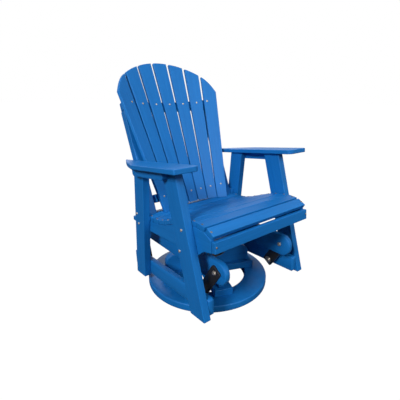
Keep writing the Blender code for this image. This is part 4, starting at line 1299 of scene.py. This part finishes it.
@dataclass(frozen=True)
class Seat(Assembly):
    """The apron, the nose slat, the seat slats and the shaped side rails that carry them."""

    low_front: Spot = (-0.0612, 0.2079)
    step: Spot = (-0.0960, 0.2352)
    step_round: float = 0.028
    corner_round: float = 0.010
    low_z: float = 0.1955
    heel_run: float = 0.0079
    rear_top_z: float = 0.2955
    apron_height: float = 0.0445
    apron_top: Spot = (-0.1575, 0.2900)
    apron_lean_deg: float = -4.5
    apron_inset: float = 0.0015
    nose_inset: float = 0.0030
    edge: float = 0.0025
    post_step: float = 0.003

    def build(self) -> None:
        """Make the side rails, the slats and the apron."""
        across = (PLACES.seat_side_inner_x, PLACES.stretcher_outer_x)
        self.bench.pair("seat_side_", self._side_outline(), across, PLACES.chair, Body.CHAIR, (0, 1, 0),
                        self.edge)
        self._slats()
        half = PLACES.seat_half_length - self.apron_inset
        low, high = (-half, 0, -self.apron_height), (half, PLACES.seat_board_thickness, 0)
        where = PLACES.chair @ moved(0, *self.apron_top) @ tilted(self.apron_lean_deg)
        blank = Blank().block(low, high)
        self.bench.board("seat_apron", blank, where, Body.CHAIR, (1, 0, 0), self.edge)

    def _slats(self) -> None:
        """Make the nose slat and the seat slats; the rear one is notched round the posts."""
        boards = PLACES.seat_boards
        thickness, width = PLACES.seat_board_thickness, PLACES.seat_board_width
        for number, (front, tilt) in enumerate(boards):
            half = PLACES.seat_half_length - (0.0 if number else self.nose_inset)
            outline = [(-half, 0), (half, 0), (half, width), (-half, width)]
            if number == len(boards) - 1:
                tab, notch = PLACES.rear_slat_tab, PLACES.post_inner_x - PLACES.notch_gap
                outline = [(-half, 0), (half, 0), (half, tab), (notch, tab), (notch, width),
                           (-notch, width), (-notch, tab), (-half, tab)]
            node = f"seat_slat_{number}" if number else "seat_nose_slat"
            where = PLACES.chair @ moved(0, *front) @ tilted(math.degrees(tilt))
            blank = Blank().push(outline, -thickness, 0, Axis.Z)
            self.bench.board(node, blank, where, Body.CHAIR, (1, 0, 0), self.edge)

    def _side_outline(self) -> list[Vector]:
        """Draw a side rail: its top follows the seat boards, its front end the apron.

        Returns:
            The points (y, z) of its outline.
        """
        boards, leg = PLACES.seat_boards, PLACES.rear_leg
        lean = math.radians(self.apron_lean_deg)
        drop = Vector((math.sin(lean), -math.cos(lean)))
        depth = Vector((math.cos(lean), math.sin(lean))) * (PLACES.seat_board_thickness + PLACES.gap)
        apron_top = Vector(self.apron_top) + depth
        apron_low = apron_top + drop * self.apron_height
        nose_front, nose_tilt = boards[0]
        nose_under = PLACES.under_board(nose_front, nose_tilt, 0.0)
        climb = (apron_top.x - nose_under.x) * math.tan(nose_tilt)
        points = [(*apron_low, 0), (*apron_top, 0), (apron_top.x, nose_under.y + climb, 0)]
        for (front, tilt), (next_front, next_tilt) in zip(boards, boards[1:]):
            rear_under = PLACES.under_board(front, tilt, PLACES.seat_board_width)
            next_under = PLACES.under_board(next_front, next_tilt, 0.0)
            points.append(((rear_under.x + next_under.x) / 2, min(rear_under.y, next_under.y), 0))
        tab_under = PLACES.under_board(*boards[-1], PLACES.rear_slat_tab)
        step_y = tab_under.x + self.post_step
        rear_top = leg.front(self.rear_top_z) + leg.depth
        rear_low = leg.front(self.low_z)
        points += [
            (step_y, tab_under.y, 0), (step_y + self.post_step, self.rear_top_z, 0),
            (rear_top, self.rear_top_z, self.corner_round),
            (rear_low + leg.depth, self.low_z, self.corner_round),
            (rear_low - self.heel_run, self.low_z, 0), (*self.low_front, self.corner_round),
            (*self.step, self.step_round),
        ]
        return rounded(points)


@dataclass(frozen=True)
class FanBack(Assembly):
    """The fan of tapered slats, the braces behind it and the posts that carry the braces."""

    last: int = 3
    thickness: float = 0.0155
    slat_gap: float = 0.0142
    foot_gap: float = 0.0035
    apex_depth: float = 1.216
    pitch_share: float = 0.2047
    cup_share: float = 0.4405
    height: float = 0.7350
    arch_radius: float = 0.367
    end_drop: float = 0.030
    arch_steps: int = 12
    foot_clearance: float = 0.0010
    spare: float = 0.030
    post_depth: float = 0.038
    post_low: float = -0.065
    upper_low: float = 0.4990
    brace_height: float = 0.038
    upper_overhang: float = 0.0010
    upper_mid_depth: float = 0.058
    upper_end_depth: float = 0.036
    upper_end_round: float = 0.014
    bow_steps: int = 24
    lower_low: float = 0.047
    lower_depth: float = 0.048
    edge: float = 0.003
    slat_edge: float = 0.0025

    @property
    def fan_share(self) -> float:
        """Return the slats' pitch for each unit of length from the fan's apex."""
        return self.pitch_share * PLACES.seat_half_length / self.apex_depth

    @property
    def arch_centre(self) -> float:
        """Return the height of the centre of the arched top."""
        return self.height - self.arch_radius

    def turn_of(self, number: int) -> float:
        """Return how far a slat is turned by the cup of the back."""
        return math.asin(number * self.fan_share / self.cup_share)

    def axes(self, number: int) -> tuple[Vector, Vector, Vector]:
        """Find the axes of a slat.

        Args:
            number: The slat, from -3 to 3.

        Returns:
            Across it, to the rear and up its length.
        """
        angle, cup = self.turn_of(number), self.cup_share
        along = Vector((cup * math.sin(angle), -cup * (1 - math.cos(angle)), 1)).normalized()
        across = Vector((math.cos(angle), -math.sin(angle), 0))
        across = (across - across.dot(along) * along).normalized()
        return across, along.cross(across), along

    def taper(self, number: int) -> float:
        """Return a slat's half width for each unit of length from the apex."""
        return self.fan_share / 2 / math.cos(self.turn_of(number))

    def slat_frame(self, number: int) -> Matrix:
        """Return a slat's place in the back's frame."""
        return moved(0, 0, -self.apex_depth) @ Matrix(self.axes(number)).transposed().to_4x4()

    def front_spot(self, number: int, level: float, inset: float = 0.0) -> Matrix:
        """Return a place on a slat's front face that looks out of it.

        Args:
            number: The slat, from -3 to 3.
            level: The height in the back's frame.
            inset: How far the place lies from the slat's middle, towards the chair's middle.

        Returns:
            The place in the world.
        """
        length = (level + self.apex_depth) / self.axes(number)[2].z
        across = -inset if number > 0 else inset
        return PLACES.back @ self.slat_frame(number) @ facing((across, 0, length), (0, -1, 0))

    def _slat_back(self, number: int, x: float, level: float) -> float:
        """Return how far back a slat's rear face lies at a place."""
        rearward = self.axes(number)[1]
        return (self.thickness - rearward.x * x - rearward.z * (level + self.apex_depth)) / rearward.y

    def _arch_length(self, number: int, share: float) -> float:
        """Measure a slat from the fan's apex to the arch.

        Args:
            number: The slat, from -3 to 3.
            share: Where across the slat, as a share of its half width.

        Returns:
            The length.
        """
        across, _, along = self.axes(number)
        start = Vector((across.x, across.z)) * (-share * self.slat_gap / 2)
        start.y -= self.apex_depth + self.arch_centre
        taper = self.taper(number)
        step = Vector((along.x + share * taper * across.x, along.z + share * taper * across.z))
        half = start.dot(step) / step.dot(step)
        rest = (start.dot(start) - self.arch_radius ** 2) / step.dot(step)
        return -half + math.sqrt(half ** 2 - rest)

    def _half(self, number: int, length: float) -> float:
        """Return a slat's half width at a length from the apex; the gaps between slats open upwards."""
        rise = (length - self.apex_depth) / self.height
        return length * self.taper(number) - (self.foot_gap + rise * (self.slat_gap - self.foot_gap)) / 2

    def _end_drop(self, number: int, share: float) -> float:
        """Return how far an outermost slat's top falls below the arch, towards its outer corner."""
        outward = (1 + math.copysign(share, share * number)) / 2
        return self.end_drop * outward ** 2 if abs(number) == self.last else 0.0

    def build(self) -> None:
        """Make the slats, the braces and the posts."""
        for number in range(-self.last, self.last + 1):
            node = f"back_slat_{number + self.last + 1}"
            where = PLACES.back @ self.slat_frame(number)
            self.bench.board(node, self._slat(number), where, Body.CHAIR, (0, 0, 1), self.slat_edge)
        self._upper_brace()
        self._lower_brace()
        top = self.upper_low - PLACES.gap
        for side in Side:
            inner, outer = side.value * PLACES.post_inner_x, side.value * PLACES.post_outer_x
            outline = ((inner, 0), (outer, 0), (outer, self.post_depth), (inner, self.post_depth))
            blank = Blank().push(outline, self.post_low, top, Axis.Z)
            node = "back_post_" + side.label
            self.bench.board(node, blank, PLACES.back, Body.CHAIR, (0, 0, 1), self.edge)

    def _slat(self, number: int) -> Blank:
        """Cut a tapered slat, with its arched top and its foot along the rear seat slat.

        Args:
            number: The slat, from -3 to 3.

        Returns:
            The blank in the slat's own frame.
        """
        foot = self.apex_depth - self.spare
        outline = [(-self._half(number, foot), foot), (self._half(number, foot), foot)]
        for step in range(self.arch_steps + 1):
            share = 1 - 2 * step / self.arch_steps
            length = self._arch_length(number, share)
            outline.append((share * self._half(number, length), length - self._end_drop(number, share)))
        blank = Blank().push(outline, 0, self.thickness, Axis.Y)
        front, tilt = PLACES.seat_boards[-1]
        normal = Vector((0, -math.sin(tilt), math.cos(tilt)))
        lean = tilted(-PLACES.back_recline_deg)
        into_slat = (moved(0, *PLACES.back_foot) @ lean @ self.slat_frame(number)).inverted()
        point = into_slat @ (Vector((0, *front)) + normal * self.foot_clearance)
        return blank.trim(point, into_slat.to_3x3() @ normal)

    def _facets(self, level: float, half: float) -> list[Spot]:
        """Return the faceted front of a brace, which seats on the slats' rear faces.

        Args:
            level: The height of the brace's lower edge.
            half: Half of the brace's length.

        Returns:
            The points (x, depth) from end to end.
        """
        pitch = self.fan_share * (level + self.apex_depth)
        points = []
        for number in range(-self.last, self.last):
            x = (2 * number + 1) * pitch / 2
            depth = max(self._slat_back(number, x, level), self._slat_back(number + 1, x, level))
            points.append((x, depth + PLACES.gap))
        slope = (points[-1][1] - points[-2][1]) / (points[-1][0] - points[-2][0])
        end = points[-1][1] + slope * (half - points[-1][0])
        return [(-half, end), *points, (half, end)]

    def _upper_brace(self) -> None:
        """Make the upper brace: faceted in front, bowed behind, with round ends."""
        half = PLACES.post_outer_x + self.upper_overhang
        facets = self._facets(self.upper_low, half)
        bow = self.upper_mid_depth - self.upper_end_depth
        radius = (half ** 2 + bow ** 2) / (2 * bow)
        sweep = math.asin(half / radius)
        turn, end_depth = self.upper_end_round, self.upper_end_depth
        corners = [(*facets[0], turn)] + [(*facet, 0) for facet in facets[1:-1]]
        corners += [(*facets[-1], turn), (half, end_depth, turn)]
        for step in range(1, self.bow_steps):
            angle = sweep * (1 - 2 * step / self.bow_steps)
            depth = self.upper_mid_depth - radius * (1 - math.cos(angle))
            corners.append((radius * math.sin(angle), depth, 0))
        corners.append((-half, end_depth, turn))
        blank = Blank().push(rounded(corners), self.upper_low, self.upper_low + self.brace_height, Axis.Z)
        self.bench.board("back_upper_brace", blank, PLACES.back, Body.CHAIR, (1, 0, 0), self.edge)

    def _lower_brace(self) -> None:
        """Make the lower brace, which fits between the posts."""
        half = PLACES.post_inner_x - PLACES.gap
        outline = self._facets(self.lower_low, half) + [(half, self.lower_depth), (-half, self.lower_depth)]
        blank = Blank().push(outline, self.lower_low, self.lower_low + self.brace_height, Axis.Z)
        self.bench.board("back_lower_brace", blank, PLACES.back, Body.CHAIR, (1, 0, 0), self.slat_edge)


@dataclass(frozen=True)
class ArmRests(Assembly):
    """The arm boards and the cleats that hold them to the legs."""

    front_inset: float = 0.0555
    rear_inset: float = 0.0480
    overhang: float = 0.0580
    taper_start: float = 0.3195
    waist_overhang: float = 0.0260
    waist_run: float = 0.4170
    heel_inset: float = 0.0080
    heel_run: float = 0.5020
    tip_inset: float = 0.0410
    length: float = 0.5745
    front_round: float = 0.006
    inner_round: float = 0.026
    side_round: float = 0.060
    tip_round: float = 0.0034
    arm_edge: float = 0.004
    cleat_thickness: float = 0.0275
    cleat_height: float = 0.035
    cleat_start: float = 0.130
    cleat_lap: float = 0.0480
    nose_round: float = 0.016
    edge: float = 0.003

    def build(self) -> None:
        """Make an arm board and a cleat for each side."""
        outer = PLACES.leg_outer_x
        corners = (
            (outer - self.front_inset, 0, self.inner_round), (outer + self.overhang, 0, self.front_round),
            (outer + self.overhang, self.taper_start, self.side_round),
            (outer + self.waist_overhang, self.waist_run, self.side_round),
            (outer - self.heel_inset, self.heel_run, 0),
            (outer - self.tip_inset, self.length, self.tip_round),
            (outer - self.rear_inset, self.length, self.tip_round),
            (outer - self.rear_inset, self.taper_start, 0),
        )
        outline = rounded(corners)
        top = -PLACES.arm_thickness - PLACES.gap
        bottom = top - self.cleat_height
        stop = PLACES.under_arm(PLACES.rear_leg)[0] - PLACES.arm_front_top[0] + self.cleat_lap
        cleat_outline = rounded((
            (self.cleat_start, top, 0), (self.cleat_start, bottom, self.nose_round),
            (stop, bottom, self.nose_round), (stop, top, 0),
        ))
        for side in Side:
            mirrored = [(side.value * x, s) for x, s in outline]
            blank = Blank().push(mirrored, -PLACES.arm_thickness, 0, Axis.Z)
            node = "arm_" + side.label
            self.bench.board(node, blank, PLACES.arms, Body.CHAIR, (0, 1, 0), self.arm_edge)
            inner = outer + PLACES.gap
            start, end = side.value * inner, side.value * (inner + self.cleat_thickness)
            blank = Blank().push(cleat_outline, start, end, Axis.X)
            node = "arm_cleat_" + side.label
            self.bench.board(node, blank, PLACES.arms, Body.CHAIR, (0, 1, 0), self.edge)


@dataclass(frozen=True)
class Screws(Assembly):
    """The small pan-head screws of the back and the seat, and the domed bolts of the legs."""

    back: FanBack
    seat: Seat
    pan_radius: float = 0.0045
    pan_height: float = 0.0018
    pan_sides: int = 16
    bolt_radius: float = 0.0065
    bolt_height: float = 0.0034
    bolt_sides: int = 20
    apron_share: float = 0.45
    upper_level: float = 0.520
    lower_level: float = 0.066
    outer_inset: float = 0.019
    row_x: float = 0.2665
    bolts: tuple[Spot, ...] = ((-0.0066, 0.3025), (0.0128, 0.2103), (0.3540, 0.2785), (0.3441, 0.2320))

    def build(self) -> None:
        """Make each row of screws as one piece."""
        pan = domed(PAN_DOME, self.pan_radius, self.pan_height, self.pan_sides)
        dome = domed(BOLT_DOME, self.bolt_radius, self.bolt_height, self.bolt_sides)
        for name, places, head, finish in (
            ("back_upper_screws", self._back_row(self.upper_level, self.outer_inset), pan, SCREW_STEEL),
            ("back_lower_screws", self._back_row(self.lower_level, 0.0), pan, SCREW_STEEL),
            ("seat_screws", self._seat_places(), pan, DULL_SCREW),
            ("leg_bolts", self._leg_places(), dome, BRIGHT_STEEL),
        ):
            row = Blank()
            for place in places:
                row.join(head, PLACES.chair.inverted() @ place)
            self.bench.place(name, row, PLACES.chair, finish, Body.CHAIR)

    def _back_row(self, level: float, inset: float) -> list[Matrix]:
        """Find a row of screws across the back slats.

        Args:
            level: The row's height in the back's frame.
            inset: How far the outermost screws lie in from the middle of their slats.

        Returns:
            Their places in the world.
        """
        last = self.back.last
        return [self.back.front_spot(number, level, inset if abs(number) == last else 0.0)
                for number in range(-last, last + 1)]

    def _seat_places(self) -> list[Matrix]:
        """Find the screws at both ends of each seat board and of the apron.

        Returns:
            Their places in the world.
        """
        boards, places = PLACES.seat_boards, []
        for number, (front, tilt) in enumerate(boards):
            run = PLACES.rear_slat_tab / 2 if number == len(boards) - 1 else PLACES.seat_board_width / 2
            board = PLACES.chair @ moved(0, *front) @ tilted(math.degrees(tilt))
            places += [board @ moved(side.value * self.row_x, run, 0) for side in Side]
        seat = self.seat
        apron = PLACES.chair @ moved(0, *seat.apron_top) @ tilted(seat.apron_lean_deg)
        level = -self.apron_share * seat.apron_height
        places += [apron @ facing((side.value * self.row_x, 0, level), (0, -1, 0)) for side in Side]
        return places

    def _leg_places(self) -> list[Matrix]:
        """Find the bolts on the legs' outer faces.

        Returns:
            Their places in the world.
        """
        outer = PLACES.leg_outer_x
        return [PLACES.chair @ facing((side.value * outer, *spot), (side.value, 0, 0))
                for side in Side for spot in self.bolts]


@dataclass(frozen=True)
class Softbox:
    """A soft square lamp, which looks at the middle of the chair."""

    name: str
    place: Corner
    size: float
    power: float
    target: Corner = (0.0, 0.0, 0.4)

    def hang(self) -> None:
        """Hang the lamp in the studio."""
        lamp = bpy.data.lights.new(self.name, "AREA")
        lamp.shape = "SQUARE"
        lamp.size = self.size
        lamp.energy = self.power
        set_out(self.name, lamp, facing(self.place, Vector(self.place) - Vector(self.target)))


@dataclass(frozen=True)
class Studio:
    """The floor, the lamps, the world and the camera."""

    camera_place: Corner = (-0.9190, -1.1341, 0.9157)
    yaw_deg: float = 39.90
    pitch_deg: float = -19.41
    roll_deg: float = 0.60
    lens: float = 28.3
    shift: Spot = (-0.0257, 0.0082)
    sensor: float = 36.0
    sight: float = 100.0
    floor_reach: float = 30.0
    floor_depth: float = 0.02
    floor_grey: float = 0.10
    floor_glow: float = 1.10
    floor_white: float = 0.92
    sky: float = 0.13
    lamps: tuple[Softbox, ...] = (
        Softbox("overhead_softbox", (0.0, -0.8, 4.4), size=2.0, power=45.0),
        Softbox("front_softbox", (0.9, -5.9, 3.8), size=1.5, power=160.0),
        Softbox("side_softbox", (-5.0, -2.3, 3.8), size=1.5, power=345.0),
        Softbox("rear_softbox", (3.2, 5.4, 3.4), size=2.4, power=90.0),
    )

    def build(self) -> None:
        """Set up the studio."""
        self._floor()
        self._world()
        for lamp in self.lamps:
            lamp.hang()
        self._camera()
        bpy.context.scene.view_settings.view_transform = "Standard"

    def _floor(self) -> None:
        """Lay a pale floor that the camera sees as white, with a faint shadow on it."""
        reach = self.floor_reach
        outline = [(-reach, -reach), (reach, -reach), (reach, reach), (-reach, reach)]
        shape = Blank().push(outline, -self.floor_depth, 0.0, Axis.Z).finished("floor")
        paint = bpy.data.materials.new("pale_floor")
        sheet = NodeSheet(paint)
        grey = (self.floor_grey, self.floor_grey, self.floor_grey, 1.0)
        matt = sheet.node("ShaderNodeBsdfDiffuse", None, {"Color": grey})
        glow = sheet.node("ShaderNodeEmission", None, {"Color": WHITE, "Strength": self.floor_glow})
        seen = sheet.node("ShaderNodeLightPath", output="Is Camera Ray")
        mixed = sheet.node("ShaderNodeMixShader", None, {0: seen * self.floor_white, 1: matt, 2: glow})
        sheet.node("ShaderNodeOutputMaterial", None, {"Surface": mixed})
        shape.materials.append(paint)
        floor = set_out("floor", shape, Matrix.Identity(4))

    def _world(self) -> None:
        """Fill the room with plain light, and show white to the camera, in gloss and through glass."""
        world = bpy.data.worlds.new("studio_white")
        bpy.context.scene.world = world
        sheet = NodeSheet(world)
        camera = sheet.node("ShaderNodeLightPath", output="Is Camera Ray")
        glossy = sheet.node("ShaderNodeLightPath", output="Is Glossy Ray")
        through = sheet.node("ShaderNodeLightPath", output="Is Transmission Ray")
        shown = camera + glossy + through
        strength = self.sky + shown * (1.0 - self.sky)
        white = sheet.node("ShaderNodeBackground", None, {"Color": WHITE, "Strength": strength})
        sheet.node("ShaderNodeOutputWorld", None, {"Surface": white})

    def _camera(self) -> None:
        """Put the camera where the photograph was taken from."""
        yaw, pitch, roll = (math.radians(value) for value in (self.yaw_deg, self.pitch_deg, self.roll_deg))
        ahead = Vector((math.sin(yaw) * math.cos(pitch), math.cos(yaw) * math.cos(pitch), math.sin(pitch)))
        level = Vector((math.cos(yaw), -math.sin(yaw), 0.0))
        up = level.cross(ahead)
        right = math.cos(roll) * level + math.sin(roll) * up
        top = -math.sin(roll) * level + math.cos(roll) * up
        lens = bpy.data.cameras.new("view")
        lens.lens = self.lens
        lens.sensor_width = self.sensor
        lens.shift_x, lens.shift_y = self.shift
        lens.clip_end = self.sight
        turn = Matrix((right, top, -ahead)).transposed().to_4x4()
        bpy.context.scene.camera = set_out("view", lens, moved(*self.camera_place) @ turn)


def main() -> None:
    """Build every assembly in order, then the studio."""
    logging.basicConfig(level=logging.INFO, format="%(message)s", stream=sys.stdout)
    bench = Bench()
    back, seat = FanBack(bench), Seat(bench)
    for assembly in (RingBase(bench), BallSwivel(bench), GliderFrame(bench), SwingArms(bench),
                     ChairFrame(bench), seat, back, ArmRests(bench), Screws(bench, back, seat)):
        assembly.build()
    Studio().build()
    LOG.info("%d pieces placed", bench.pieces)


if __name__ == "__main__":
    main()
